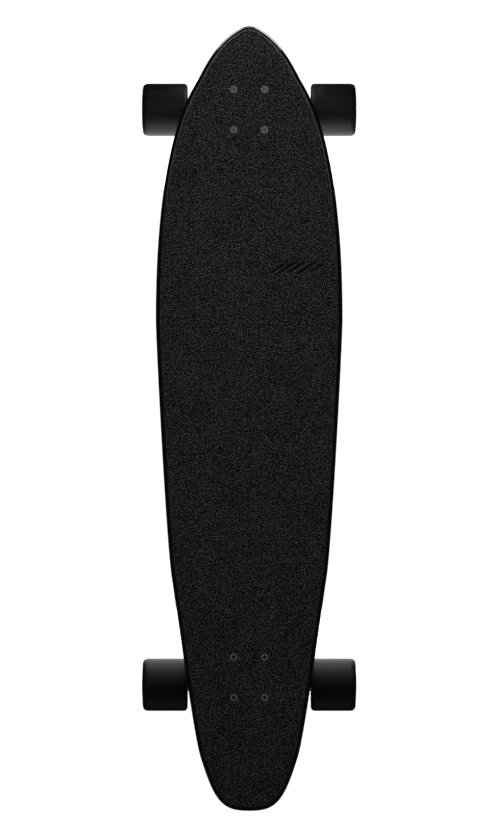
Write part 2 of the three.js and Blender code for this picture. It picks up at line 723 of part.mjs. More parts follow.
function heatSink() {
  const { y, width, length, thickness, fins: count } = SINK;
  const [windowX, windowY] = SINK.window;
  const low = TRAY_BOTTOM + TRAY.wall + GAP;
  const base = box([-width / 2, y - length / 2, low], [width / 2, y + length / 2, low + thickness]);
  const pitch = (windowX - 6) / (count - 1);
  const [front, back] = [y + windowY / 2 - 2, y - windowY / 2 + 2];
  const fins = [];
  for (let i = 0; i < count; i += 1) {
    const x = (i - (count - 1) / 2) * pitch;
    fins.push(box([x - 1, back, TRAY_BOTTOM - 2.5], [x + 1, front, low + 1]));
  }
  return join(base, ...fins);
}

function chargePort() {
  const { radius, flange, flangeTop, bore, boreDepth, depth } = PORT;
  const profile = [
    [0, -depth],
    [radius, -depth],
    [radius, GAP],
    [flange, GAP],
    [flange, flangeTop],
    [bore, flangeTop],
    [bore, -boreDepth],
    [0, -boreDepth],
  ];
  return onRightWall(revolve(profile), PORT_Y);
}

function chargePortCover() {
  const [low, high] = [PORT.flangeTop + GAP, COVER.top];
  const { radius } = COVER;
  const section = [[0, low], [radius, low], [radius, high - 0.8], [radius - 0.8, high], [0, high]];
  const disc = onRightWall(revolve(section), PORT_Y);
  const x = TRAY.width / 2;
  const y = PORT_Y + HINGE.ahead;
  const { halfLength, knuckle, out } = HINGE;
  const tab = box([x + low, y - 6, PORT_Z - halfLength], [x + high, y, PORT_Z + halfLength]);
  const barrel = rod(knuckle, PORT_Z - halfLength, PORT_Z + halfLength, 12).translate(x + out, y, 0);
  const pinHole = rod(HINGE.pin + GAP, PORT_Z - 10, PORT_Z + 10, 10).translate(x + out, y, 0);
  return cut(join(disc, tab, barrel), pinHole);
}

function powerButton() {
  const { radius, depth, top } = BUTTON;
  const profile = [[0, -depth], [radius, -depth], [radius, top - 1], [radius - 0.9, top - 0.3], [0, top]];
  return onRightWall(revolve(profile), BUTTON_Y);
}

function motorCable(side) {
  const axleY = REAR_TRUCK.boltsY - REAR_TRUCK.axleOffset;
  const flangeFace = axleY + MOTOR_FLANGE.radius + GAP;
  const controllerFace = SINK.y - CONTROLLER.length / 2 - GAP;
  const wall = -TRAY.length / 2;
  const route = [
    [74.5, flangeFace, 38],
    [74.5, flangeFace + 12, 39],
    [66, flangeFace + 36, 62],
    [48, flangeFace + 66, 84],
    [36, wall - 13, GLAND_Z],
    [GLAND_X, wall + 1.5, GLAND_Z],
    [29, wall + 18, GLAND_Z - 1],
    [26, controllerFace, GLAND_Z - 3],
  ];
  const path = new THREE.CatmullRomCurve3(route.map(([x, y, z]) => new THREE.Vector3(side * x, y, z)));
  const section = new THREE.Shape().absarc(0, 0, CABLE_RADIUS, 0, 2 * Math.PI);
  return new THREE.ExtrudeGeometry(section, {
    steps: 20,
    extrudePath: path,
    curveSegments: 4,
    bevelEnabled: false,
  });
}

function buildElectronics() {
  addPiece(board, "enclosure", enclosure(), "plastic");
  addPiece(board, "enclosure_gasket", gasket(), "rubber");
  const battery = addPiece(board, "battery_pack", batteryPack(), "wrap");
  battery.position.set(0, BATTERY.y, TRAY_BOTTOM + TRAY.wall + BATTERY.lift);
  addPiece(board, "heat_sink", heatSink(), "aluminium");
  const { width, length, height } = CONTROLLER;
  const body = plate(roundedRectangle(width, length, 4), 0, height);
  const controller = addPiece(board, "speed_controller", body, "blackMetal");
  controller.position.set(0, SINK.y, TRAY_BOTTOM + TRAY.wall + 2 * GAP + SINK.thickness);
  addPiece(board, "charge_port", chargePort(), "blackMetal");
  addPiece(board, "charge_port_cover", chargePortCover(), "rubber");
  addPiece(board, "power_button", powerButton(), "aluminium");
  addPiece(board, "left_motor_cable", motorCable(-1), "rubber");
  addPiece(board, "right_motor_cable", motorCable(1), "rubber");
}

buildDeck();
buildFrontTruck();
buildRearTruck();
buildElectronics();

export default board;
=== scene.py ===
"""Looks of the electric longboard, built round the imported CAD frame.

Shapes are made in millimetres and scaled to metres as each piece is finished.
+Z is up, +Y is towards the nose, and the origin is on the floor under mid-length.
"""

from math import cos, dist, pi, radians, sin

import bmesh
import bpy
from mathutils import Matrix, Vector


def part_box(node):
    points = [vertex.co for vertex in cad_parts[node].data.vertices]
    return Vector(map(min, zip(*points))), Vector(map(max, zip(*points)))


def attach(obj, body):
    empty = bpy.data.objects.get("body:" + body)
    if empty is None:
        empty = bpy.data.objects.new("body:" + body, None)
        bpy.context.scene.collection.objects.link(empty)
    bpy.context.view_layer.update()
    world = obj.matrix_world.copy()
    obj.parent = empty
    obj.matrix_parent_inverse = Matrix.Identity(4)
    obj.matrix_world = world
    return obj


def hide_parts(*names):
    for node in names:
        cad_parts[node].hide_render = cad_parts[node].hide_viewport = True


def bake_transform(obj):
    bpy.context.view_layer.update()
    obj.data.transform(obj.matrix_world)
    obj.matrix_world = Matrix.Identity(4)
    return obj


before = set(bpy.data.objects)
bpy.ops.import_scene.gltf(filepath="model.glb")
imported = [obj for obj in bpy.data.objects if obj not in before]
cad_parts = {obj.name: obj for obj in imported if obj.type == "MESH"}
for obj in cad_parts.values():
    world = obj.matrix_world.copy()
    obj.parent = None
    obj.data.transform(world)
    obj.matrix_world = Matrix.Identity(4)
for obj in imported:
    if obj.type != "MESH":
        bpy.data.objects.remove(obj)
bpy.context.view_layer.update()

MM = 0.001

# Deck
HALF_LENGTH = 525
# Right half of the outline from tail to nose: each curve's two handles and its end.
OUTLINE_CURVES = [
    [(34, -525), (46.5, -516), (66, -450)],
    [(74.5, -421), (99, -242), (103.6, -213)],
    [(111, -166), (125, 106), (125, 133)],
    [(125, 379), (76, 438), (67, 456)],
    [(53, 484), (37, 508.5), (12, 522)],
    [(8.5, 524), (4.5, 525), (0, 525)],
]
RAIL_RADIUS = 5.5
DECK_BOTTOM = 108.5
DECK_TOP = 121
GRIP_BOTTOM = 121.3
GRIP_TOP = 122
GRIP_INSET = 5.6
BOLT_TOP = GRIP_TOP - 0.2
# The grip follows the same outline, but its two sides run on to a point at the nose.
GRIP_CURVES = OUTLINE_CURVES[:5] + [[(9, 522), (4.5, 524.9), (0, 527.8)]]
# Points at the end of the grip's side that cross the middle line once it is inset.
CROSSED_POINTS = 8
# The mark: each stroke's length and its lift out of line, and how the row of them stands.
MARK_STROKES = [(22, -1.2), (30, 0), (26, 0.8), (32, 0), (20, -0.8)]
MARK_PLACE = (38, 202)
MARK_STEP = 13
MARK_SLANT = 32

# Trucks: [outboard of the axle, above the axle] in a truck's side view
PIVOT = (-20, 8)
NUB_ROOT = (-6, -3)
RING_CENTRE = (8.99, 36.99)
BOLTS = {"front": 413, "rear": -346}
BOLT_STEP = (20.6375, 26.9875)
FLANGE_BOTTOM = 96

# Wheels
WHEEL_X = 114.3
WHEEL_RADIUS = 35.5
FACE = 31
CORE_RADIUS = 17
CAN_RADIUS = 26
CAP_SCREW_CIRCLE = 19

# Tray
TRAY_WIDTH = 164
TRAY_LENGTH = 500
TRAY_CORNER = 26
TRAY_TOP = 106.5
TRAY_BOTTOM = 68.5
PORT_Y = -205
BUTTON_Y = -160
PORT_Z = 92
GLAND = (32, -250, 90.5)

# Studio, in metres
CAMERA_PLACE = (0.0011, -0.0020)
CAMERA_HEIGHT = 7.0
FIELD = 1.1228
CARD_X = 0.115
# Share of the light that the floor sends back to the board, and the floor's own glow to the camera.
FLOOR_RETURN = 0.12
FLOOR_GLOW = 0.98
# The white surround's strength for everything but the camera.
SURROUND_RETURN = 0.07


# --- mesh making

def baked(bm, name="shape"):
    mesh = bpy.data.meshes.new(name)
    bm.to_mesh(mesh)
    bm.free()
    return mesh


def skin(rings, loop=False):
    """A surface through rings of equally many points. A loop joins its last ring to its first."""
    bm = bmesh.new()
    rows = [[bm.verts.new(point) for point in ring] for ring in rings]
    count = len(rows[0])
    pairs = list(zip(rows, rows[1:]))
    if loop:
        pairs.append((rows[-1], rows[0]))
    for low, high in pairs:
        for i in range(count):
            j = (i + 1) % count
            bm.faces.new((low[i], low[j], high[j], high[i]))
    if not loop:
        for row in (rows[0], rows[-1]):
            bm.faces.new(row)
    bmesh.ops.remove_doubles(bm, verts=bm.verts, dist=1e-4)
    bmesh.ops.recalc_face_normals(bm, faces=bm.faces)
    return baked(bm)


def circle(radius, z, sides):
    """A ring of points; radius is a number or a function of the angle."""
    points = []
    for i in range(sides):
        angle = 2 * pi * i / sides
        r = radius(angle) if callable(radius) else radius
        points.append((r * cos(angle), r * sin(angle), z))
    return points


def turned(profile, sides=64, loop=False):
    """A solid of revolution about Z from [radius, z] points."""
    return skin([circle(max(r, 1e-5) if not callable(r) else r, z, sides) for r, z in profile], loop)


def rounded(points, radius, steps=4, loop=False):
    """The profile with its corners rounded."""
    result = []
    count = len(points)
    for i, point in enumerate(points):
        if not loop and i in (0, count - 1):
            result.append(tuple(point))
            continue
        here = Vector(point)
        before = Vector(points[i - 1]) - here
        after = Vector(points[(i + 1) % count]) - here
        reach = min(radius, 0.48 * before.length, 0.48 * after.length)
        start = here + before.normalized() * reach
        end = here + after.normalized() * reach
        for k in range(steps + 1):
            t = k / steps
            result.append(tuple((1 - t) ** 2 * start + 2 * t * (1 - t) * here + t * t * end))
    return result


def rod(radius, low, high, edge=0.4, sides=32):
    """A cylinder along Z with eased edges."""
    profile = rounded([(0, low), (radius, low), (radius, high), (0, high)], edge, 3)
    return turned(profile, sides)


def hollow(corners, edge, steps=3, sides=64):
    """A solid of revolution with a bore, from a closed profile whose corners are eased."""
    return turned(rounded(corners, edge, steps, loop=True), sides, loop=True)


def tube(bore, radius, low, high, edge=0.3, sides=64):
    return hollow([(bore, low), (radius, low), (radius, high), (bore, high)], edge, 3, sides)


def hexagon(across):
    """Radius of a hexagon as a function of the angle."""
    def radius(angle):
        return across / 2 / cos((angle + pi / 6) % (pi / 3) - pi / 6)
    return radius


def clipped(shape, limit):
    return lambda angle: min(shape(angle), limit)


def nut(across, height, bore, collar=True):
    """A hexagon nut with chamfered corners, and the round collar of a lock nut at its top."""
    flats = hexagon(across)
    corner = across / 2 / cos(pi / 6)
    top = height * (0.68 if collar else 1)
    chamfer = 0.3 * (corner - across / 2) + 0.35
    edge = [(clipped(flats, across / 2 + (corner - across / 2) * t), chamfer * t) for t in (0.15, 0.5, 1)]
    profile = [(bore, 0), (bore + 0.3, 0), (across / 2 - 0.2, 0), *edge]
    profile += [(radius, top - z) for radius, z in reversed(edge)]
    profile.append((across / 2 - 0.2, top))
    if collar:
        ring = across / 2 - 0.55
        profile += [(ring, top + 0.1), (ring, height - 0.8), (ring - 0.35, height - 0.2)]
        profile += [(ring - 0.9, height), (bore + 0.5, height), (bore, height - 0.3)]
    else:
        profile += [(bore + 0.3, top), (bore, top - 0.3)]
    return turned(profile, 48, loop=True)


def threaded(radius, low, high, pitch, sides=32):
    """A rod along Z with a helical thread and a chamfered end at the high side."""
    rings = [circle(1e-5, low, sides)]
    steps = max(2, round((high - low) / pitch * 6))
    for i in range(steps + 1):
        z = low + (high - low) * i / steps
        limit = radius - max(0, z - high + 1.2) * 0.8
        ring = []
        for j in range(sides):
            phase = (z / pitch - j / sides) % 1
            r = min(radius - pitch * 0.6 * (1 - abs(2 * phase - 1)), limit)
            angle = 2 * pi * j / sides
            ring.append((r * cos(angle), r * sin(angle), z))
        rings.append(ring)
    rings.append(circle(1e-5, high, sides))
    return skin(rings)


def socket_screw(radius, height, socket):
    """A button-head screw's head, standing on z = 0, with a hexagon socket."""
    key = hexagon(socket)
    profile = [(0, -2), (radius * 0.55, -2), (radius * 0.55, 0), (radius, 0), (radius, 0.25 * height)]
    for t in (0.3, 0.6, 0.85):
        profile.append((radius * cos(t * 0.9), height * (0.25 + 0.75 * sin(t * pi / 2))))
    profile += [(lambda a: key(a) + 0.25, height), (key, height - 0.2), (key, height * 0.35)]
    profile.append((0, height * 0.25))
    return turned(profile, 36)


def box(low, high, edge=0.4):
    """A block with eased edges."""
    width, length = high[0] - low[0], high[1] - low[1]
    centre = ((low[0] + high[0]) / 2, (low[1] + high[1]) / 2)
    return placed(slab(width, length, 2 * edge, low[2], high[2], edge, 2), shift(*centre, 0))


def round_rectangle(width, length, corner, z, steps=8):
    """A ring of points round a rounded rectangle."""
    corner = max(corner, 1e-3)
    points = []
    for quarter, (sx, sy) in enumerate([(1, 1), (-1, 1), (-1, -1), (1, -1)]):
        for k in range(steps + 1):
            angle = (quarter + k / steps) * pi / 2
            x = sx * (width / 2 - corner) + corner * cos(angle)
            y = sy * (length / 2 - corner) + corner * sin(angle)
            points.append((x, y, z))
    return points


def slab(width, length, corner, low, high, edge, steps=8):
    """A rounded rectangle with thickness and rounded edges."""
    rings = []
    for inset, z in rounded([(edge * 3, low), (0, low), (0, high), (edge * 3, high)], edge, 4):
        rings.append(round_rectangle(width - 2 * inset, length - 2 * inset, corner - inset, z, steps))
    return skin(rings)


def shift(x, y, z):
    return Matrix.Translation((x, y, z))


def spin(degrees, axis):
    return Matrix.Rotation(radians(degrees), 4, axis)


def placed(mesh, *matrices):
    for matrix in matrices:
        mesh.transform(matrix)
    return mesh


def merged(*meshes):
    """Several meshes as one."""
    bm = bmesh.new()
    for mesh in meshes:
        bm.from_mesh(mesh)
        bpy.data.meshes.remove(mesh)
    return baked(bm)


def new_object(name, data):
    obj = bpy.data.objects.new(name, data)
    bpy.context.scene.collection.objects.link(obj)
    return obj


def modified(mesh, *steps):
    """The mesh after modifiers, each given as (kind, settings)."""
    work = new_object("work", mesh)
    for kind, settings in steps:
        modifier = work.modifiers.new(kind, kind)
        for key, value in settings.items():
            setattr(modifier, key, value)
    graph = bpy.context.evaluated_depsgraph_get()
    result = bpy.data.meshes.new_from_object(work.evaluated_get(graph))
    bpy.data.objects.remove(work)
    bpy.data.meshes.remove(mesh)
    return result


def cut(mesh, *tools):
    """The mesh with tools that don't overlap each other taken out of it."""
    cutter = new_object("cutter", merged(*tools))
    result = modified(mesh, ("BOOLEAN", {"operation": "DIFFERENCE", "solver": "EXACT", "object": cutter}))
    tool_mesh = cutter.data
    bpy.data.objects.remove(cutter)
    bpy.data.meshes.remove(tool_mesh)
    return result


def cast(parts, voxel=0.9, rounds=8):
    """Overlapping parts fused into one casting with soft edges and fillets."""
    return modified(
        merged(*parts),
        ("REMESH", {"mode": "VOXEL", "voxel_size": voxel}),
        ("SMOOTH", {"iterations": rounds}),
    )


def piece(name, mesh, material, body, slot, replaces=(), sharp=38):
    """Finishes a mesh as a named piece on a body."""
    mesh.transform(Matrix.Scale(MM, 4))
    mesh.name = name
    mesh.materials.clear()
    mesh.materials.append(LOOKS[material].material)
    mesh.shade_smooth()
    mesh.set_sharp_from_angle(angle=radians(sharp))
    obj = new_object(name, mesh)
    weighted = obj.modifiers.new("weighted", "WEIGHTED_NORMAL")
    weighted.keep_sharp = True
    if isinstance(body, str):
        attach(obj, body)
    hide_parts(*replaces)
    return obj


def fitted(name, place):
    """A short way to make pieces that share the start of their names and a place."""
    def part(label, mesh, material, body, slot, node=None, sharp=38):
        nodes = [f"{name}_{node}"] if node else []
        return piece(f"{name}_{label}", placed(mesh, place), material, body, slot, nodes, sharp)
    return part


# --- materials

class Finish:
    """A material, with short ways to feed its shader. Values are fixed or come from other nodes."""

    def __init__(self, name):
        self.material = bpy.data.materials.new(name)
        self.material.use_nodes = True
        self.tree = self.material.node_tree
        self.shader = self.tree.nodes["Principled BSDF"]

    def feed(self, socket, value):
        if isinstance(value, bpy.types.NodeSocket):
            self.tree.links.new(value, socket)
        else:
            socket.default_value = (*value, 1) if socket.type == "RGBA" else value

    def node(self, kind, inputs=()):
        node = self.tree.nodes.new(kind)
        for name, value in dict(inputs).items():
            self.feed(node.inputs[name], value)
        return node

    def set(self, values):
        for name, value in values.items():
            self.feed(self.shader.inputs[name], value)

    def texture(self, kind, scale, stretch=(1, 1, 1), **settings):
        """A texture in the piece's own space."""
        place = self.node("ShaderNodeTexCoord").outputs["Object"]
        mapping = self.node("ShaderNodeMapping", {"Scale": stretch, "Vector": place})
        return self.node(kind, {"Scale": scale, "Vector": mapping.outputs["Vector"], **settings})

    def noise(self, scale, stretch=(1, 1, 1), **settings):
        return self.texture("ShaderNodeTexNoise", scale, stretch, **settings).outputs["Fac"]

    def ramp(self, source, stops):
        """A colour ramp through (position, colour) stops."""
        node = self.node("ShaderNodeValToRGB", {"Fac": source})
        elements = node.color_ramp.elements
        while len(elements) < len(stops):
            elements.new(0.5)
        for element, (position, colour) in zip(elements, stops):
            element.position = position
            element.color = (*colour, 1)
        return node.outputs["Color"]

    def spread(self, source, low, high, source_range=(0.3, 0.7)):
        """The source's usual range stretched between two values."""
        ends = {"From Min": source_range[0], "From Max": source_range[1], "To Min": low, "To Max": high}
        return self.node("ShaderNodeMapRange", {"Value": source, **ends}).outputs["Result"]

    def mixed(self, factor, first, second, blend="MIX"):
        """Two colours mixed by a factor."""
        node = self.node("ShaderNodeMix")
        node.data_type = "RGBA"
        node.blend_type = blend
        for name, value in (("Factor", factor), ("A", first), ("B", second)):
            self.feed(node.inputs[name], value)
        return node.outputs["Result"]

    def bumped(self, height, strength, distance, under=None):
        """Relief on the shader, over another relief if one is given."""
        node = self.node("ShaderNodeBump", {"Strength": strength, "Distance": distance, "Height": height})
        if under:
            self.feed(node.inputs["Normal"], under)
        self.set({"Normal": node.outputs["Normal"]})
        return node.outputs["Normal"]


def surface(name, dark, light, roughness, *, grain=300, stretch=(1, 1, 1), relief=(0.15, 0.0001),
            relief_grain=None, metallic=0.0, specular=0.5, coat=0.0, worn=None):
    """A finish with mottled colour, uneven roughness, a fine relief, and wear along its edges."""
    look = Finish(name)
    mottle = look.noise(grain, stretch, Detail=5.0, Roughness=0.62)
    colour = look.ramp(mottle, [(0.34, dark), (0.68, light)])
    if worn:
        geometry = look.node("ShaderNodeNewGeometry")
        edge = look.spread(geometry.outputs["Pointiness"], 0, 1, (0.52, 0.6))
        colour = look.mixed(edge, colour, worn)
    smudge = look.noise(28, Detail=3.0)
    look.set({"Base Color": colour, "Roughness": look.spread(smudge, *roughness)})
    look.set({"Metallic": metallic, "Specular IOR Level": specular})
    look.set({"Coat Weight": coat, "Coat Roughness": 0.05})
    look.bumped(look.noise(relief_grain or grain * 3, stretch, Detail=3.0), *relief)
    return look


def grip_grit():
    """Black abrasive grains of varying tone, with painted glints as bright specks in the colour, and a paler
    colour painted on the sheet's cut sides as a painted highlight.
    """
    look = Finish("grip_grit")
    coarse = look.noise(720, Detail=0.6, Roughness=0.5)
    # The ramp's brightest stops are painted glints on some grains; the darker stops are the grains' own tone.
    grit_with_glints = look.ramp(coarse, [
        (0.34, (0.001,) * 3),
        (0.48, (0.02, 0.0197, 0.0194)),
        (0.6, (0.105, 0.103, 0.101)),
        (0.74, (0.36, 0.355, 0.35)),
    ])
    patches = look.ramp(look.noise(26, Detail=2.0), [(0.3, (0.82,) * 3), (0.7, (1.0,) * 3)])
    face = look.mixed(1, grit_with_glints, patches, "MULTIPLY")
    # The sheet's sides, which face away from straight up, are painted paler: a painted highlight along the
    # cut edge.
    normal = look.node("ShaderNodeNewGeometry").outputs["True Normal"]
    upward = look.node("ShaderNodeSeparateXYZ", {"Vector": normal}).outputs["Z"]
    side_highlight_mask = look.spread(upward, 1, 0, (0.8, 0.96))
    look.set({
        "Base Color": look.mixed(side_highlight_mask, face, (0.12, 0.118, 0.116)),
        "Roughness": look.spread(coarse, 0.95, 0.6),
        "Specular IOR Level": 0.1,
    })
    grains = look.texture("ShaderNodeTexVoronoi", 900, Randomness=1.0).outputs["Distance"]
    look.bumped(coarse, 0.8, 0.0008, look.bumped(grains, 0.55, 0.0005))
    return look


def gloss_lacquer():
    """Deep black gloss with faint orange peel and fine wipe marks."""
    look = Finish("black_gloss_lacquer")
    depth = look.noise(9, (1, 0.2, 1), Detail=3.0)
    wipe = look.noise(160, (1, 0.06, 1), Detail=4.0)
    look.set({
        "Base Color": look.ramp(depth, [(0.35, (0.0014, 0.0014, 0.0015)), (0.7, (0.003, 0.003, 0.0032))]),
        "Roughness": look.spread(wipe, 0.1, 0.2),
        "Specular IOR Level": 0.2,
        "Coat Weight": 0.3,
        "Coat Roughness": 0.06,
    })
    look.bumped(look.noise(240, Detail=1.0), 0.06, 0.0003)
    return look


def satin_urethane():
    """Satin black urethane with faint mould marks and a little road dust in its pores."""
    look = Finish("satin_urethane")
    dust = look.noise(90, (0.5, 1, 1), Detail=6.0, Roughness=0.65)
    stops = [(0.4, (0.0085, 0.0085, 0.0087)), (0.62, (0.012, 0.012, 0.0122)), (0.8, (0.02, 0.0197, 0.0193))]
    look.set({
        "Base Color": look.ramp(dust, stops),
        "Roughness": look.spread(dust, 0.5, 0.58),
        "Specular IOR Level": 0.15,
    })
    look.bumped(look.noise(1400, Detail=2.0), 0.18, 0.00012)
    return look


def bolt_head_steel():
    """Dark grey steel on the top face, painted near-black below it: a painted shade in the cross recess and
    down the countersink.
    """
    look = surface("bolt_head_steel", (0.27, 0.25, 0.238), (0.46, 0.43, 0.41), (0.46, 0.6), grain=700,
                   metallic=0.1, relief=(0.2, 0.0001), specular=0.3)
    top_face_colour = look.shader.inputs["Base Color"].links[0].from_socket
    place = look.node("ShaderNodeTexCoord").outputs["Object"]
    height = look.node("ShaderNodeSeparateXYZ", {"Vector": place}).outputs["Z"]
    # Everything lower than just under the top face is painted near-black as painted shade in the recess and
    # the countersink.
    low = (BOLT_TOP - 0.35) * MM
    unshaded_top_mask = look.spread(height, 0, 1, (low, low + 0.2 * MM))
    look.set({"Base Color": look.mixed(unshaded_top_mask, (0.006,) * 3, top_face_colour)})
    return look


def pebbled_plastic():
    """Moulded plastic with a pebbled grain."""
    look = Finish("pebbled_plastic")
    mottle = look.noise(60, Detail=5.0)
    look.set({
        "Base Color": look.ramp(mottle, [(0.35, (0.0085, 0.0085, 0.009)), (0.7, (0.0145, 0.0145, 0.015))]),
        "Roughness": look.spread(mottle, 0.48, 0.62),
    })
    pebbles = look.texture("ShaderNodeTexVoronoi", 850, Randomness=1.0)
    pebbles.feature = "SMOOTH_F1"
    look.bumped(pebbles.outputs["Distance"], 0.45, 0.0004)
    return look


LOOKS = {
    "grip": grip_grit(),
    "lacquer": gloss_lacquer(),
    "bolt_head": bolt_head_steel(),
    "urethane": satin_urethane(),
    "plastic": pebbled_plastic(),
    "casting": surface(
        "black_painted_casting", (0.009,) * 3, (0.016,) * 3, (0.34, 0.5),
        grain=180, relief=(0.25, 0.0003), relief_grain=700, worn=(0.045, 0.045, 0.046)),
    "nylon": surface(
        "black_nylon", (0.01,) * 3, (0.018,) * 3, (0.38, 0.52), grain=240, relief=(0.12, 0.0002)),
    "dark_steel": surface(
        "dark_bolt_steel", (0.13, 0.12, 0.114), (0.27, 0.25, 0.238), (0.46, 0.6),
        grain=700, metallic=0.45, relief=(0.2, 0.0001), specular=0.3),
    "steel": surface(
        "bright_steel", (0.46, 0.455, 0.445), (0.62, 0.615, 0.6), (0.2, 0.36),
        grain=500, metallic=1.0, relief=(0.12, 0.00006)),
    "zinc": surface(
        "zinc_plated_steel", (0.36, 0.36, 0.35), (0.58, 0.57, 0.54), (0.28, 0.45),
        grain=260, metallic=1.0, relief=(0.14, 0.00006)),
    "aluminium": surface(
        "brushed_aluminium", (0.42, 0.425, 0.43), (0.6, 0.605, 0.61), (0.3, 0.44),
        grain=320, stretch=(1, 0.05, 1), metallic=1.0, relief=(0.2, 0.00008)),
    "anodised": surface(
        "black_anodised_aluminium", (0.018, 0.018, 0.019), (0.034, 0.034, 0.036), (0.3, 0.42),
        grain=420, metallic=0.6, relief=(0.15, 0.00008), worn=(0.1,) * 3),
    "rubber": surface(
        "matt_rubber", (0.012,) * 3, (0.024, 0.0235, 0.023), (0.72, 0.86),
        grain=200, relief=(0.3, 0.0002), relief_grain=1500, specular=0.3),
    "bushing": surface(
        "red_bushing_urethane", (0.075, 0.008, 0.007), (0.12, 0.014, 0.011), (0.36, 0.48),
        grain=70, relief=(0.1, 0.0001), coat=0.1),
    "copper": surface(
        "stator_copper", (0.42, 0.16, 0.07), (0.68, 0.3, 0.14), (0.28, 0.4),
        grain=900, stretch=(1, 4, 4), metallic=1.0, relief=(0.5, 0.0003)),
    "wrap": surface(
        "battery_wrap", (0.012, 0.035, 0.11), (0.02, 0.055, 0.16), (0.25, 0.4),
        grain=40, relief=(0.2, 0.0004), relief_grain=90),
    "seal": surface("bearing_seal", (0.02,) * 3, (0.035,) * 3, (0.45, 0.6)),
}


# --- deck

def bezier(start, first, second, end, steps):
    points = []
    for k in range(steps):
        t = k / steps
        weights = ((1 - t) ** 3, 3 * t * (1 - t) ** 2, 3 * t * t * (1 - t), t ** 3)
        handles = zip(weights, (start, first, second, end))
        points.append(sum((weight * Vector(point) for weight, point in handles), Vector((0, 0))))
    return points


def half_outline(curves, steps=30):
    """The pintail outline's right side, from tail to nose."""
    start = (0, -HALF_LENGTH)
    points = []
    for first, second, end in curves:
        points += bezier(start, first, second, end, steps)
        start = end
    return points + [Vector(start)]


def mirrored_ring(half, z):
    """A ring from its right side, which starts and ends on the middle line."""
    left = [(-p.x, p.y) for p in reversed(half[1:-1])]
    return [(x, y, z) for x, y in [*half, *left]]


def inset_side(half, inset):
    """A right side moved inwards, without its two ends."""
    moved = []
    for before, after, point in zip(half, half[2:], half[1:]):
        along = (after - before).normalized()
        moved.append(point + inset * Vector((-along.y, along.x)))
    return moved


def outline_ring(inset, z):
    half = half_outline(OUTLINE_CURVES)
    ends = [half[0] + Vector((0, inset)), half[-1] - Vector((0, inset))]
    return mirrored_ring([ends[0], *inset_side(half, inset), ends[1]], z)


def grip_ring(inset, z):
    """The grip's outline. Each side is run on straight to the middle line, for a sharp tip."""
    half = half_outline(GRIP_CURVES)
    side = inset_side(half, inset)[:-CROSSED_POINTS]
    run = side[-1] - side[-2]
    tip = side[-1] - run * (side[-1].x / run.x)
    return mirrored_ring([half[0] + Vector((0, inset)), *side, tip], z)


def stacked(ring, profile):
    """A solid through rings at the profile's [inset, z] points."""
    return skin([ring(inset, z) for inset, z in profile])


def bolt_places():
    for end, middle in BOLTS.items():
        for index, (sx, sy) in enumerate([(-1, 1), (1, 1), (-1, -1), (1, -1)], 1):
            yield f"{end}_bolt_{index}", sx * BOLT_STEP[0], middle + sy * BOLT_STEP[1]


def deck_board():
    """The lacquered plank with its rounded rails."""
    quarter = [k / 8 * pi / 2 for k in range(9)]
    rail = [(RAIL_RADIUS * (1 - sin(a)), RAIL_RADIUS * (1 - cos(a))) for a in quarter]
    profile = [(RAIL_RADIUS + 1.5, DECK_BOTTOM)]
    profile += [(inset, DECK_BOTTOM + rise) for inset, rise in rail]
    profile += [(rise, DECK_TOP - inset) for inset, rise in rail]
    profile.append((RAIL_RADIUS + 1.5, DECK_TOP))
    piece("deck_plank", stacked(outline_ring, profile), "lacquer", "board", "lacquered_wood", ["deck"], 50)


def grip_mark():
    """Slanted strokes of uneven length cut out of the grip: a plain decoration without letters."""
    strokes = []
    for index, (length, lift) in enumerate(MARK_STROKES):
        floor = round_rectangle(length, 3.4, 1.6, GRIP_BOTTOM - 0.2, 5)
        rim = round_rectangle(length + 0.4, 5, 2.4, GRIP_TOP + 0.2, 5)
        bar = skin([floor, [(x, y - 0.8, z) for x, y, z in rim]])
        place = shift(MARK_PLACE[0] + index * MARK_STEP, MARK_PLACE[1] + lift, 0)
        strokes.append(placed(bar, spin(MARK_SLANT, "Z"), place))
    return strokes


def grip_sheet():
    """The abrasive sheet, cut round the bolt heads and with the mark cut out of it."""
    profile = [(GRIP_INSET + 0.05, GRIP_BOTTOM), (GRIP_INSET, GRIP_BOTTOM + 0.15)]
    profile += [(GRIP_INSET + 0.1, GRIP_TOP - 0.25), (GRIP_INSET + 0.45, GRIP_TOP)]
    holes = [placed(rod(5.35, GRIP_BOTTOM - 2, GRIP_TOP + 2, sides=40), shift(x, y, 0))
             for _, x, y in bolt_places()]
    sheet = cut(stacked(grip_ring, profile), *holes, *grip_mark())
    piece("grip_sheet", sheet, "grip", "board", "grip", ["grip_tape"], 30)


def cross(reach, half):
    """Radius of a cross as a function of the angle."""
    def radius(angle):
        turn = abs((angle + pi / 4) % (pi / 2) - pi / 4)
        return min(reach / cos(turn), half / max(sin(turn), 1e-6))
    return radius


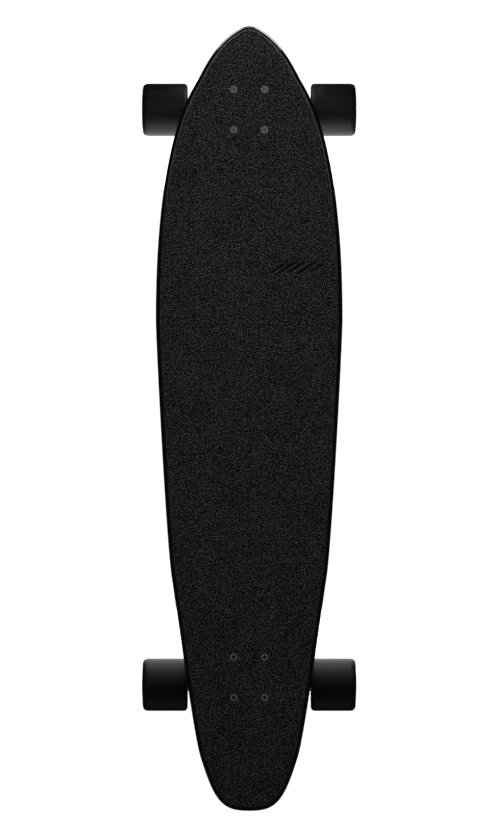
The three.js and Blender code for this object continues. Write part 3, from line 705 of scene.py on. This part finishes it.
def mounting_bolts():
    """Countersunk bolts with cross recesses, and a lock nut and washer on each under the baseplates."""
    # Radius, and depth below the top
    profile = [(0, 7.4), (2.4, 7.4), (2.4, 4), (4.95, 1.1), (5, 0.6), (4.85, 0.25), (4.55, 0.05), (4.3, 0)]
    profile += [(cross(3.3, 1.05), 0), (cross(3.1, 0.95), 0.6), (cross(1.2, 0.3), 2.2), (0, 2.5)]
    profile = [(radius, BOLT_TOP - depth) for radius, depth in profile]
    for index, (name, x, y) in enumerate(bolt_places()):
        turn = spin(37 * index % 90, "Z")
        spot = shift(x, y, 0)
        head = placed(turned(profile, 96), turn, spot)
        piece(f"{name}_head", head, "bolt_head", "board", "dark_steel", [name])
        shank = placed(threaded(2.4, 7.2 - BOLT_TOP, -90.25, 0.8, 20), spin(180, "X"), spot)
        piece(f"{name}_shank", shank, "dark_steel", "board", "dark_steel")
        under = fitted(name, shift(x, y, FLANGE_BOTTOM) @ spin(180, "X"))
        under("washer", tube(2.6, 5.2, 0.02, 0.9, 0.2, 32), "zinc", "board", "steel")
        lock = placed(nut(9.5, 4.9, 2.45), turn, shift(0, 0, 0.9))
        under("lock_nut", lock, "zinc", "board", "steel")


# --- trucks

def truck_place(end):
    """The truck's frame: origin at the axle's middle, +Y outboard."""
    low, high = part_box(f"{end}_axle")
    centre = Matrix.Translation((low + high) / 2 / MM)
    return centre if end == "front" else centre @ spin(180, "Z")


def kingpin_place():
    """Along the kingpin from the middle of the hanger's ring, in a truck's frame."""
    return shift(0, *RING_CENTRE) @ spin(225, "X")


def side_line(start, end):
    """A frame in a truck's side view whose Z runs from start to end."""
    direction = Vector((0, end[0] - start[0], end[1] - start[1]))
    return shift(0, *start) @ direction.to_track_quat("Z", "X").to_matrix().to_4x4()


def across(mesh, side=1):
    """Turns a shape made along Z to lie along X."""
    return placed(mesh, spin(side * 90, "Y"))


def bar_between(start, end, radius):
    """A round bar with rounded ends between two points."""
    line = Vector(end) - Vector(start)
    turn = line.to_track_quat("Z", "X").to_matrix().to_4x4()
    cap = [(0, -radius * 0.6), (radius * 0.8, -radius * 0.3), (radius, radius * 0.4)]
    profile = cap + [(r, line.length - z) for r, z in reversed(cap)]
    return placed(turned(profile, 24), turn, shift(*start))


def yoke_parts(wing_half):
    """The ribbed wing, bushing ring, pivot nub and ball that both hangers share."""
    web = [(-wing_half, 0), (wing_half, 0), (13, 27.5), (-13, 27.5)]
    parts = [skin([[(x, outboard, z) for x, z in web] for outboard in (-2.6, 0.8)])]
    for side in (-1, 1):
        parts.append(bar_between((side * (wing_half - 6), -1, 4.5), (side * 11, -1, 27), 3.9))
        parts.append(bar_between((side * 26, -1.5, 3), (side * 9, -1, 29), 3.2))
    ring = [(7.6, -5), (14, -5), (15, -3.8), (15, 3.8), (14, 5), (7.6, 5)]
    parts.append(placed(turned(ring, 64, loop=True), kingpin_place()))
    reach = dist(PIVOT, NUB_ROOT)
    nub = turned([(0, -4), (7.5, -3), (6.5, 2), (4.4, reach - 4), (4.4, reach), (0, reach)], 40)
    parts.append(placed(nub, side_line(NUB_ROOT, PIVOT)))
    ball = [(6 * sin(a * pi / 16), -6 * cos(a * pi / 16)) for a in range(17)]
    parts.append(placed(turned(ball, 32), shift(0, *PIVOT)))
    return parts


def add_hanger(end, parts):
    """Casts a hanger and bores its ring. Returns the way to add its other pieces."""
    casting = cut(cast(parts), placed(rod(7.5, -16, 16, sides=48), kingpin_place()))
    part = fitted(end, truck_place(end))
    part("hanger_casting", casting, "casting", f"{end}_hanger", "painted_casting", "hanger", 60)
    return part


def front_hanger():
    half = [(10.9, 26), (9.4, 60), (8.5, 100.5), (7.6, 101.4), (0, 101.4)]
    profile = [(r, -x) for r, x in reversed(half)] + half
    beam = across(turned(rounded(profile, 14, 5), 48))
    add_hanger("front", [beam, *yoke_parts(74)])


def rear_hanger():
    bar = across(slab(21.6, 21.6, 5, -77.6, 77.6, 1.2, 6))
    parts = [bar, *yoke_parts(66)]
    for side in (-1, 1):
        parts.append(across(rod(18, 71, 77.8, 1.2, 64), side))
    part = add_hanger("rear", parts)
    for side, label in ((-1, "right"), (1, "left")):
        sleeve = [(6.1, 77.5), (10.5, 77.5), (10.5, 79.4), (8.5, 79.6), (8.5, 85.5), (6.1, 85.5)]
        part(f"{label}_motor_sleeve", across(hollow(sleeve, 0.4), side), "steel", "rear_hanger", "steel")
        screws = []
        for k in range(4):
            angle = pi / 4 + k * pi / 2
            spot = shift(14 * cos(angle), 14 * sin(angle), 77.9)
            screws.append(across(placed(socket_screw(2.4, 1.4, 2), spot), side))
        part(f"{label}_flange_screws", merged(*screws), "dark_steel", "rear_hanger", "dark_steel")


def baseplate(end):
    """The cast baseplate, softened from its CAD solid, with a rubber riser above it."""
    solid = placed(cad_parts[f"{end}_baseplate"].data.copy(), Matrix.Scale(1 / MM, 4))
    piece(f"{end}_baseplate_casting", cast([solid], 0.8, 6), "casting", "board", "painted_casting",
          [f"{end}_baseplate"], 60)
    outline = [(12, 102.8), (0.8, 102.8), (0, 103.5), (0.5, 104.2)]
    outline += [(0.5, 106.8), (0, 107.5), (0.8, 108.2), (12, 108.2)]
    rings = [round_rectangle(58 - 2 * inset, 86 - 2 * inset, max(6 - inset, 0.5), z)
             for inset, z in rounded(outline, 0.5, 3)]
    riser = placed(skin(rings), shift(0, BOLTS[end], 0))
    piece(f"{end}_riser", riser, "rubber", "board", "rubber", [f"{end}_riser_pad"])


def bushing_stack(end):
    """Everything on the kingpin from head to tip, and the bush round the pivot."""
    place = truck_place(end) @ kingpin_place()
    on_pin = fitted(end, place)
    shaft = merged(rod(4.7, -30.2, 17, 0.2, 40), threaded(4.7, 16.6, 28, 1.25, 32))
    head = placed(nut(14.2, 5, 4.4, collar=False), shift(0, 0, -34.6))
    on_pin("kingpin_bolt", merged(shaft, head), "dark_steel", "board", "dark_steel", "kingpin")
    barrel = [(5.1, -20.2), (12.2, -20.2), (12.9, -18.5), (13, -12.8), (12.9, -7), (12.2, -5.4), (5.1, -5.4)]
    cone = [(5.1, 5.4), (11.4, 5.4), (12, 6.8), (11.2, 12), (10.2, 15), (9.6, 16.2), (5.1, 16.2)]
    for name, profile, ends in (("boardside", barrel, (-20.2, -5.4)), ("roadside", cone, (16.2, 5.4))):
        bush = hollow(profile, 0.7, 4, 72)
        soft = on_pin(f"{name}_rubber", bush, "bushing", None, "bushing", f"{name}_bushing")
        start, finish = (place @ Vector((0, 0, z)) * MM for z in ends)
        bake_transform(soft)
        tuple(start)
        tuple(finish)
    cup = [(5, 16.6), (9.9, 16.6), (11.3, 15.4), (11.5, 15.6), (10.6, 18.1), (5, 18.1)]
    on_pin("roadside_cup", hollow(cup, 0.3), "zinc", "board", "steel", "cup_washer")
    lock = placed(nut(14, 7, 4.9), shift(0, 0, 18.4))
    on_pin("locking_nut", lock, "zinc", "board", "steel", "kingpin_nut")
    cup_profile = [(6.4, -2.5), (8.6, -2.5), (8.6, 9.3), (0, 9.3), (0, 6.5), (3.2, 5.6), (5.6, 3.2), (6.4, 0)]
    cup_place = truck_place(end) @ side_line(NUB_ROOT, PIVOT) @ shift(0, 0, dist(PIVOT, NUB_ROOT))
    bush = turned(cup_profile, 48, loop=True)
    fitted(end, cup_place)("pivot_bush", bush, "rubber", "board", "rubber", "pivot_cup")


# --- wheels

def wheel_place(end, side):
    """A wheel's frame: +Z outboard along the axle."""
    low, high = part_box(f"{end}_axle")
    middle = (low + high) / 2 / MM
    return shift(side * WHEEL_X, middle.y, middle.z) @ spin(side * 90, "Y")


def face_height(radius):
    """The outboard face bulges out towards its middle."""
    return FACE - 1.3 * (radius / 28) ** 2.5


def arc(centre, radius, start, end, steps=8):
    """Points along an arc, from one angle to another in degrees."""
    points = []
    for k in range(steps + 1):
        angle = radians(start + (end - start) * k / steps)
        points.append((centre[0] + radius * cos(angle), centre[1] + radius * sin(angle)))
    return points


def tyre_profile(bore, inboard_bore):
    """The tyre's section: a domed face, a soft outer lip, a flat tread and a rounded inner lip."""
    face = [(bore + (29.5 - bore) * k / 6, face_height(bore + (29.5 - bore) * k / 6)) for k in range(7)]
    profile = [(bore, face[0][1] - 1.2), (bore + 0.35, face[0][1] - 0.25)] + face[1:]
    profile += [(31.8, 28.9), (33.3, 28.0), (34.5, 26.4), (35.2, 24.4), (WHEEL_RADIUS, 22)]
    profile += [(WHEEL_RADIUS, 12), (WHEEL_RADIUS, -12)]
    profile += arc((WHEEL_RADIUS - 5.2, -FACE + 5.2), 5.2, 0, -90)
    profile += [(inboard_bore + 1.2, -FACE), (inboard_bore + 0.3, -FACE + 0.3), (inboard_bore, -FACE + 1.2)]
    profile.append((bore, -FACE + 1 + 2 * (inboard_bore - bore)))
    return profile


def start_wheel(end, side_name, side, bore, inboard_bore):
    """Adds a wheel's tyre. Returns the wheel's body and the way to add its other pieces."""
    name = f"{end}_{side_name}"
    body = f"{name}_wheel"
    part = fitted(name, wheel_place(end, side))
    mesh = turned(tyre_profile(bore, inboard_bore), 160, loop=True)
    part("tread", mesh, "urethane", body, "urethane", "tyre")
    return body, part


def ring_of(count, make):
    """Shapes repeated round Z."""
    return [placed(make(), Matrix.Rotation(2 * pi * k / count, 4, "Z")) for k in range(count)]


def bearing(low, face_out):
    """A ball bearing's two races, and the seal between them on its open side."""
    z = low + 7 if face_out else low
    out = 1 if face_out else -1
    races = merged(tube(9.3, 11, low, low + 7, 0.25), tube(4.3, 6, low, low + 7, 0.25))
    seal = tube(6.1, 9.2, min(z, z - out * 0.9), max(z - out * 0.3, z - out * 0.9), 0.1)
    return races, seal


def front_wheel(side_name, side):
    body, part = start_wheel("front", side_name, side, CORE_RADIUS + 0.3, 24)
    shell = [(14.6, -17), (CORE_RADIUS, -17), (CORE_RADIUS, 24), (15.6, 24.6), (14.6, 23.4)]
    shell = hollow(shell, 0.3, 3, 72)
    outboard = [(9, 5), (11.3, 5), (11.3, 12), (12.6, 12.6), (14.7, 12.6)]
    hub = turned([(9, -5), *outboard, *((r, -z) for r, z in reversed(outboard[1:]))], 72, loop=True)
    ribs = ring_of(10, lambda: box((12.4, -0.8, 11), (15, 0.8, 20.5), 0.3))
    ribs += ring_of(10, lambda: box((12.4, -0.8, -16), (15, 0.8, -11), 0.3))
    part("hub", merged(shell, hub, *ribs), "nylon", body, "plastic", "core")
    for label, low, out in (("inner", -12, False), ("outer", 5, True)):
        races, seal = bearing(low, out)
        part(f"{label}_races", races, "steel", body, "steel", f"bearing_{label}")
        part(f"{label}_seal", seal, "seal", body, "rubber")
    part("speed_washer", tube(4.2, 6.2, 12.1, 12.9, 0.15), "zinc", "front_hanger", "steel")
    lock = placed(nut(12.7, 6, 4.1), shift(0, 0, 13))
    part("lock_nut", lock, "zinc", "front_hanger", "steel", "axle_nut")


def motor_cover():
    """The hub motor's outer cap: a turned dome with stepped rings and a recessed middle."""
    steps = [(CAN_RADIUS, 1.4), (25.4, 0.6), (24.6, 0.3), (23.4, 0.3), (23.2, 0.8), (22.8, 0.8), (22.6, 0.3)]
    steps += [(15.4, 0.3), (14.6, 1.1)]
    middle = [(9.6, 0.5), (8.8, 0.25), (0, 0.25)]
    profile = [(0, 24.5), (13, 24.5), (13, 17.8), (CAN_RADIUS, 17.8)]
    profile += [(radius, face_height(radius) - depth) for radius, depth in steps]
    profile.append((10.2, face_height(10) - 1.1))
    profile += [(radius, face_height(radius) - depth) for radius, depth in middle]
    return turned(rounded(profile, 0.25, 2), 128)


def rear_wheel(side_name, side):
    body, part = start_wheel("rear", side_name, side, CAN_RADIUS + 0.3, CAN_RADIUS + 2)
    seat = face_height(CAP_SCREW_CIRCLE) - 1.5
    on_circle = shift(CAP_SCREW_CIRCLE, 0, 0)
    pockets = ring_of(6, lambda: placed(rod(2.75, seat, FACE + 3, 0.1, 32), on_circle))
    part("motor_cap", cut(motor_cover(), *pockets), "anodised", body, "plastic", "motor_cover")
    on_seat = shift(CAP_SCREW_CIRCLE, 0, seat - 0.05)
    screws = ring_of(6, lambda: placed(socket_screw(2.4, 1.2, 2.2), on_seat))
    part("cap_screws", merged(*screws), "steel", body, "steel")
    can = [(6.6, -26), (CAN_RADIUS, -26), (CAN_RADIUS, 17.5), (22.2, 17.5), (22.2, -22.5), (6.6, -22.5)]
    can = hollow(can, 0.5, 3, 96)
    vents = ring_of(8, lambda: placed(slab(7, 4.4, 2.1, -30, -20, 0.01, 6), shift(16, 0, 0)))
    part("motor_can", cut(can, *vents), "anodised", body, "painted_casting", "rotor_can")
    coils = ring_of(12, lambda: placed(slab(6.4, 7.2, 2.4, -22, 15.5, 1.6, 5), shift(16.4, 0, 0)))
    part("windings", merged(*coils), "copper", "rear_hanger", "stator", "stator")
    tips = ring_of(12, lambda: box((18, -4.6, -20.8), (21.4, 4.6, 13.8), 0.4))
    core = merged(tube(6.4, 13, -21, 14, 0.3, 48), *tips)
    part("laminations", core, "zinc", "rear_hanger", "steel")
    lock = placed(nut(16.6, 5, 6.1, collar=False), shift(0, 0, 14.5))
    part("lock_nut", lock, "zinc", "rear_hanger", "steel", "axle_nut")


def axle(end, radius, plain, tip, pitch):
    """A shaft across the truck, plain as far as its threaded ends."""
    ends = [across(threaded(radius, plain - 1, tip, pitch, 36), side) for side in (-1, 1)]
    shaft = merged(across(rod(radius - 0.05, -plain, plain, 0.2, 40)), *ends)
    fitted(end, truck_place(end))("axle_shaft", shaft, "steel", f"{end}_hanger", "steel", "axle")


# --- tray

def on_right_wall(mesh, y):
    """Stands a shape made along Z on the tray's right wall."""
    return placed(mesh, spin(90, "Y"), shift(TRAY_WIDTH / 2, y, PORT_Z))


def tray_shell():
    """A moulded tray: lip, filleted walls, a rounded bottom edge, openings and cooling grooves."""
    def ring(inset, z):
        width, length = TRAY_WIDTH - 2 * inset, TRAY_LENGTH - 2 * inset
        return round_rectangle(width, length, max(TRAY_CORNER - inset, 2), z, 10)

    outer = [(13, TRAY_BOTTOM), (9, TRAY_BOTTOM)]
    for k in range(1, 7):
        a = k / 6 * pi / 2
        outer.append((9 - 9 * sin(a), TRAY_BOTTOM + 9 - 9 * cos(a)))
    outer += [(0, 100.5), (-0.5, 102.6), (-2.2, 103.5), (-9.2, 103.5), (-10, 104.2), (-10, 106)]
    outer.append((-9.5, TRAY_TOP))
    inner = [(3, TRAY_TOP), (3, 80)]
    for k in range(6):
        a = k / 5 * pi / 2
        inner.append((9 - 6 * cos(a), 77.5 - 6 * sin(a)))
    inner.append((13, 71.5))
    shell = stacked(ring, outer + inner)
    holes = [
        placed(slab(72, 92, 5, TRAY_BOTTOM - 5, TRAY_BOTTOM + 5, 0.01), shift(0, -145, 0)),
        on_right_wall(rod(8.3, -10, 10, 0.01, 48), PORT_Y),
        on_right_wall(rod(7.8, -10, 10, 0.01, 48), BUTTON_Y),
    ]
    holes += [placed(rod(4, -10, 10, 0.01, 32), spin(90, "X"), shift(s * GLAND[0], *GLAND[1:]))
              for s in (-1, 1)]
    for x in (-48, -24, 0, 24, 48):
        groove = slab(5, 250, 2.4, TRAY_BOTTOM - 2, TRAY_BOTTOM + 1.1, 0.3, 6)
        holes.append(placed(groove, shift(x, 75, 0)))
    piece("tray_shell", cut(shell, *holes), "plastic", "board", "plastic", ["enclosure"], 32)


def tray_seal():
    rings = [round_rectangle(TRAY_WIDTH + 2 * out, TRAY_LENGTH + 2 * out, TRAY_CORNER + out, z, 10)
             for out, z in ((-3, 106.8), (8.6, 106.8), (9, 107.2), (9, 107.8), (8.6, 108.2), (-3, 108.2))]
    piece("tray_seal", skin(rings, loop=True), "rubber", "board", "rubber", ["enclosure_gasket"])


def tray_screws():
    """Button-head screws and washers round the lip, driven from below."""
    spots = [(s * 87, y) for s in (-1, 1) for y in range(-216, 217, 72)]
    spots += [(x, s * 255) for s in (-1, 1) for x in (-48, 48)]
    flip = spin(180, "X")
    for index, (x, y) in enumerate(spots, 1):
        turn = spin(index * 23, "Z")
        screw = placed(socket_screw(2.9, 1.9, 2.5), shift(0, 0, 0.5))
        both = placed(merged(screw, tube(1.7, 3.6, 0, 0.5, 0.12, 32)), turn, flip, shift(x, y, 103.45))
        piece(f"tray_screw_{index}", both, "dark_steel", "board", "dark_steel")


def charging_socket():
    barrel = [(0, -16), (8, -16), (8, 0.3), (11, 0.3), (11, 1.8), (10.4, 2.2)]
    barrel += [(5.8, 2.2), (5.2, 1.6), (5.2, -12), (0, -12)]
    barrel = on_right_wall(turned(rounded(barrel, 0.25, 2), 72), PORT_Y)
    piece("charging_socket", barrel, "anodised", "board", "plastic", ["charge_port"])
    pins = [placed(rod(0.8, -12.5, -3, 0.3, 16), shift(2.4 * cos(a), 2.4 * sin(a), 0))
            for a in (0, 2 * pi / 3, 4 * pi / 3)]
    piece("charging_pins", on_right_wall(merged(*pins), PORT_Y), "steel", "board", "steel")


def charging_cover():
    """A rubber flap with a grip lip, fused to the barrel of its hinge."""
    hinge_y = 15
    disc = [(0, 2.6), (11.5, 2.6), (11.5, 4.4), (10.6, 5.1), (7.6, 5.1), (7.2, 4.6), (0, 4.6)]
    disc = turned(rounded(disc, 0.3, 3), 72)
    lip = box((-4, -12.6, 2.6), (4, -9.5, 4.8), 0.6)
    tab = box((-4.9, 8.5, 2.6), (4.9, hinge_y, 5.1), 0.4)
    on_hinge = (spin(90, "Y"), shift(0, hinge_y, 4.6))
    knuckle = placed(tube(1.35, 2.3, -4.9, 4.9, 0.2, 32), *on_hinge)
    bore = placed(rod(1.5, -8, 8, 0.1, 32), *on_hinge)
    flap = on_right_wall(merged(cut(cast([disc, lip, tab], 0.3, 4), bore), knuckle), PORT_Y)
    piece("charging_flap", flap, "rubber", "charge_port_cover", "rubber", ["charge_port_cover"])
    wall, hinge = TRAY_WIDTH / 2, PORT_Y + hinge_y
    lugs = [box((wall - 1, hinge - 2, PORT_Z + low), (wall + 6.5, hinge + 2, PORT_Z + high), 0.7)
            for low, high in ((-8.9, -5.4), (5.4, 8.9))]
    piece("flap_hinge_lugs", merged(*lugs), "nylon", "board", "plastic")
    pin = placed(rod(1, PORT_Z - 8.4, PORT_Z + 8.4, 0.2, 24), shift(wall + 4.6, hinge, 0))
    piece("flap_hinge_pin", pin, "steel", "board", "steel")


def power_button():
    cap = [(0, -6), (7.4, -6), (7.4, 1.7), (6.4, 2.6), (5.2, 2.75), (4.6, 2.2), (0, 2)]
    cap = on_right_wall(turned(rounded(cap, 0.4, 3), 72), BUTTON_Y)
    piece("power_button_cap", cap, "aluminium", "power_button", "button", ["power_button"])
    bezel = [(7.9, -0.4), (10.5, -0.4), (10.5, 0.7), (9.7, 1.4), (8.2, 1.4), (7.9, 1.1)]
    bezel = on_right_wall(hollow(bezel, 0.2, 3, 72), BUTTON_Y)
    piece("power_button_bezel", bezel, "anodised", "board", "plastic")


# --- motor cables

def smooth_path(points, steps=8):
    """A centripetal Catmull-Rom curve through the points."""
    points = [Vector(p) for p in points]
    padded = [2 * points[0] - points[1], *points, 2 * points[-1] - points[-2]]
    path = []
    for p0, p1, p2, p3 in zip(padded, padded[1:], padded[2:], padded[3:]):
        d0, d1, d2 = ((b - a).length ** 0.5 for a, b in ((p0, p1), (p1, p2), (p2, p3)))
        leave = ((p1 - p0) / d0 - (p2 - p0) / (d0 + d1) + (p2 - p1) / d1) * d1
        arrive = ((p2 - p1) / d1 - (p3 - p1) / (d1 + d2) + (p3 - p2) / d2) * d1
        for k in range(steps):
            t = k / steps
            path.append((2 * t ** 3 - 3 * t ** 2 + 1) * p1 + (t ** 3 - 2 * t ** 2 + t) * leave
                        + (3 * t ** 2 - 2 * t ** 3) * p2 + (t ** 3 - t ** 2) * arrive)
    path.append(points[-1])
    return path


def pipe(path, radius, sides=20):
    """A round tube along a path; the section doesn't twist."""
    rings = []
    normal = Vector((1, 0, 0))
    for i, point in enumerate(path):
        along = (path[min(i + 1, len(path) - 1)] - path[max(i - 1, 0)]).normalized()
        normal = (normal - along * normal.dot(along)).normalized()
        other = along.cross(normal)
        ring = []
        for k in range(sides):
            angle = 2 * pi * k / sides
            ring.append(point + radius * (cos(angle) * normal + sin(angle) * other))
        rings.append(ring)
    return skin(rings)


def motor_cable(side, label):
    """The three-wire lead from the motor flange to the tray, with a boot and a gland."""
    route = [(74.5, -341.8, 38), (74.5, -329.8, 39), (66, -305.8, 62), (48, -275.8, 84)]
    route += [(36, -263, 90.5), (32, -248.5, 90.5), (29, -232, 89.5), (26, -193.3, 87.5)]
    path = smooth_path([(side * x, y, z) for x, y, z in route])
    lead = piece(f"{label}_motor_lead", pipe(path, 3.3), "rubber", None, "rubber", [f"{label}_motor_cable"])
    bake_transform(lead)
    boot = [(3.2, -2), (6.2, -2), (6.2, 1.2)]
    for k in range(4):
        rise = 2.2 * k
        boot += [(5.6 - 0.4 * k, 1.6 + rise), (5.3 - 0.4 * k, 2.6 + rise), (5.7 - 0.45 * k, 3.2 + rise)]
    boot += [(3.9, 11), (3.3, 11)]
    boot = placed(hollow(boot, 0.3, 2, 40), spin(-90, "X"), shift(side * 74.5, -342.2, 38.1))
    piece(f"{label}_cable_boot", boot, "rubber", "rear_hanger", "rubber")
    body = placed(nut(13, 4, 3.6, collar=False), shift(0, 0, 0.1))
    dome = hollow([(3.5, 4), (5.9, 4), (5.9, 6.4), (4.9, 9.4), (3.7, 10), (3.5, 9.4)], 0.5, 3, 48)
    gland = placed(merged(body, dome), spin(90, "X"), shift(side * GLAND[0], *GLAND[1:]))
    piece(f"{label}_cable_gland", gland, "nylon", "board", "plastic")


# --- CAD nodes that show as they are

KEPT_NODES = {"heat_sink": "anodised", "speed_controller": "anodised", "battery_pack": "wrap"}


def dress_kept_nodes():
    for name, material in KEPT_NODES.items():
        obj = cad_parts[name]
        for slot in obj.material_slots:
            slot.material = LOOKS[material].material
        bevel = obj.modifiers.new("eased", "BEVEL")
        bevel.width = 0.0004
        bevel.segments = 2
        bevel.limit_method = "ANGLE"
        bevel.angle_limit = radians(40)


# --- studio

def camera():
    """Straight above, with a long lens, and the nose up."""
    data = bpy.data.cameras.new("camera")
    data.sensor_width = 36
    data.lens = data.sensor_width * CAMERA_HEIGHT / FIELD
    data.clip_end = 30
    obj = new_object("camera", data)
    obj.location = (*CAMERA_PLACE, GRIP_TOP * MM + CAMERA_HEIGHT)
    bpy.context.scene.camera = obj


def floor():
    """A pale floor that looks evenly bright, throws little light back up, and is clear from below."""
    bm = bmesh.new()
    bmesh.ops.create_grid(bm, x_segments=8, y_segments=8, size=8)
    mesh = baked(bm, "floor")
    look = Finish("pale_floor")
    look.set({
        "Base Color": (0.8, 0.8, 0.8),
        "Roughness": 0.9,
        "Specular IOR Level": 0.0,
        "Emission Color": (1, 1, 1),
        "Emission Strength": FLOOR_GLOW,
    })
    shade = look.node("ShaderNodeBsdfDiffuse", {"Color": (FLOOR_RETURN,) * 3})
    seen = look.node("ShaderNodeLightPath").outputs["Is Camera Ray"]
    behind = look.node("ShaderNodeNewGeometry").outputs["Backfacing"]
    clear = look.node("ShaderNodeBsdfTransparent")

    def choose(factor, first, second):
        node = look.node("ShaderNodeMixShader", {"Fac": factor})
        look.feed(node.inputs[1], first)
        look.feed(node.inputs[2], second)
        return node.outputs["Shader"]

    lit = choose(seen, shade.outputs["BSDF"], look.shader.outputs["BSDF"])
    whole = choose(behind, lit, clear.outputs["BSDF"])
    look.feed(look.tree.nodes["Material Output"].inputs["Surface"], whole)
    mesh.materials.append(look.material)
    new_object("floor", mesh)


def glow_card(name, place, facing, size, radiance, spread_angle=180):
    """An evenly bright rectangle that the camera doesn't see; its width stays level."""
    data = bpy.data.lights.new(name, "AREA")
    data.shape = "RECTANGLE"
    data.size, data.size_y = size
    data.energy = radiance * pi * size[0] * size[1]
    data.spread = radians(spread_angle)
    obj = new_object(name, data)
    obj.location = place
    obj.rotation_euler = Vector(facing).to_track_quat("-Z", "Y").to_euler()
    obj.visible_camera = False


def studio():
    """A softbox over the nose, low cards round the board, and a surround that only looks bright."""
    scene = bpy.context.scene
    scene.view_settings.view_transform = "Standard"
    world = bpy.data.worlds.new("surround")
    scene.world = world
    world.use_nodes = True
    tree = world.node_tree
    background = tree.nodes["Background"]
    background.inputs["Color"].default_value = (1, 1, 1, 1)
    seen = tree.nodes.new("ShaderNodeLightPath")
    strength = tree.nodes.new("ShaderNodeMapRange")
    strength.inputs["To Min"].default_value = SURROUND_RETURN
    tree.links.new(seen.outputs["Is Camera Ray"], strength.inputs["Value"])
    tree.links.new(strength.outputs["Result"], background.inputs["Strength"])
    glow_card("softbox", (0, 0.68, 1.42), (0, 0, -1), (1.0, 0.6), 1.9)
    glow_card("nose_card", (0, 0.6, 0.095), (0, -1, 0), (0.06, 0.09), 3.0)
    for side, label in ((-1, "left"), (1, "right")):
        glow_card(f"{label}_nose_card", (side * 0.075, 0.585, 0.085), (-side * 0.53, -0.85, 0),
                  (0.1, 0.09), 2.6, 60)
        glow_card(f"{label}_tail_card", (side * CARD_X, -0.5, 0.06), (0, 1, 0), (0.09, 0.09), 0.4)
        for end, y, facing in (("front", 0.315, 1), ("rear", -0.258, -1)):
            glow_card(f"{label}_{end}_card", (side * CARD_X, y, 0.055), (0, facing, 0), (0.09, 0.1), 3.4)
            low_place = (side * CARD_X, y + facing * 0.033, 0.004)
            glow_card(f"{label}_{end}_floor_card", low_place, (0, 0, 1), (0.09, 0.06), 3.2)


deck_board()
grip_sheet()
mounting_bolts()
for truck in ("front", "rear"):
    baseplate(truck)
    bushing_stack(truck)
front_hanger()
rear_hanger()
axle("front", 4, 113, 135.2, 1.0)
axle("rear", 6, 119, 136.7, 1.5)
for label, side in (("left", -1), ("right", 1)):
    front_wheel(label, side)
    rear_wheel(label, side)
    motor_cable(side, label)
tray_shell()
tray_seal()
tray_screws()
charging_socket()
charging_cover()
power_button()
dress_kept_nodes()
camera()
floor()
studio()
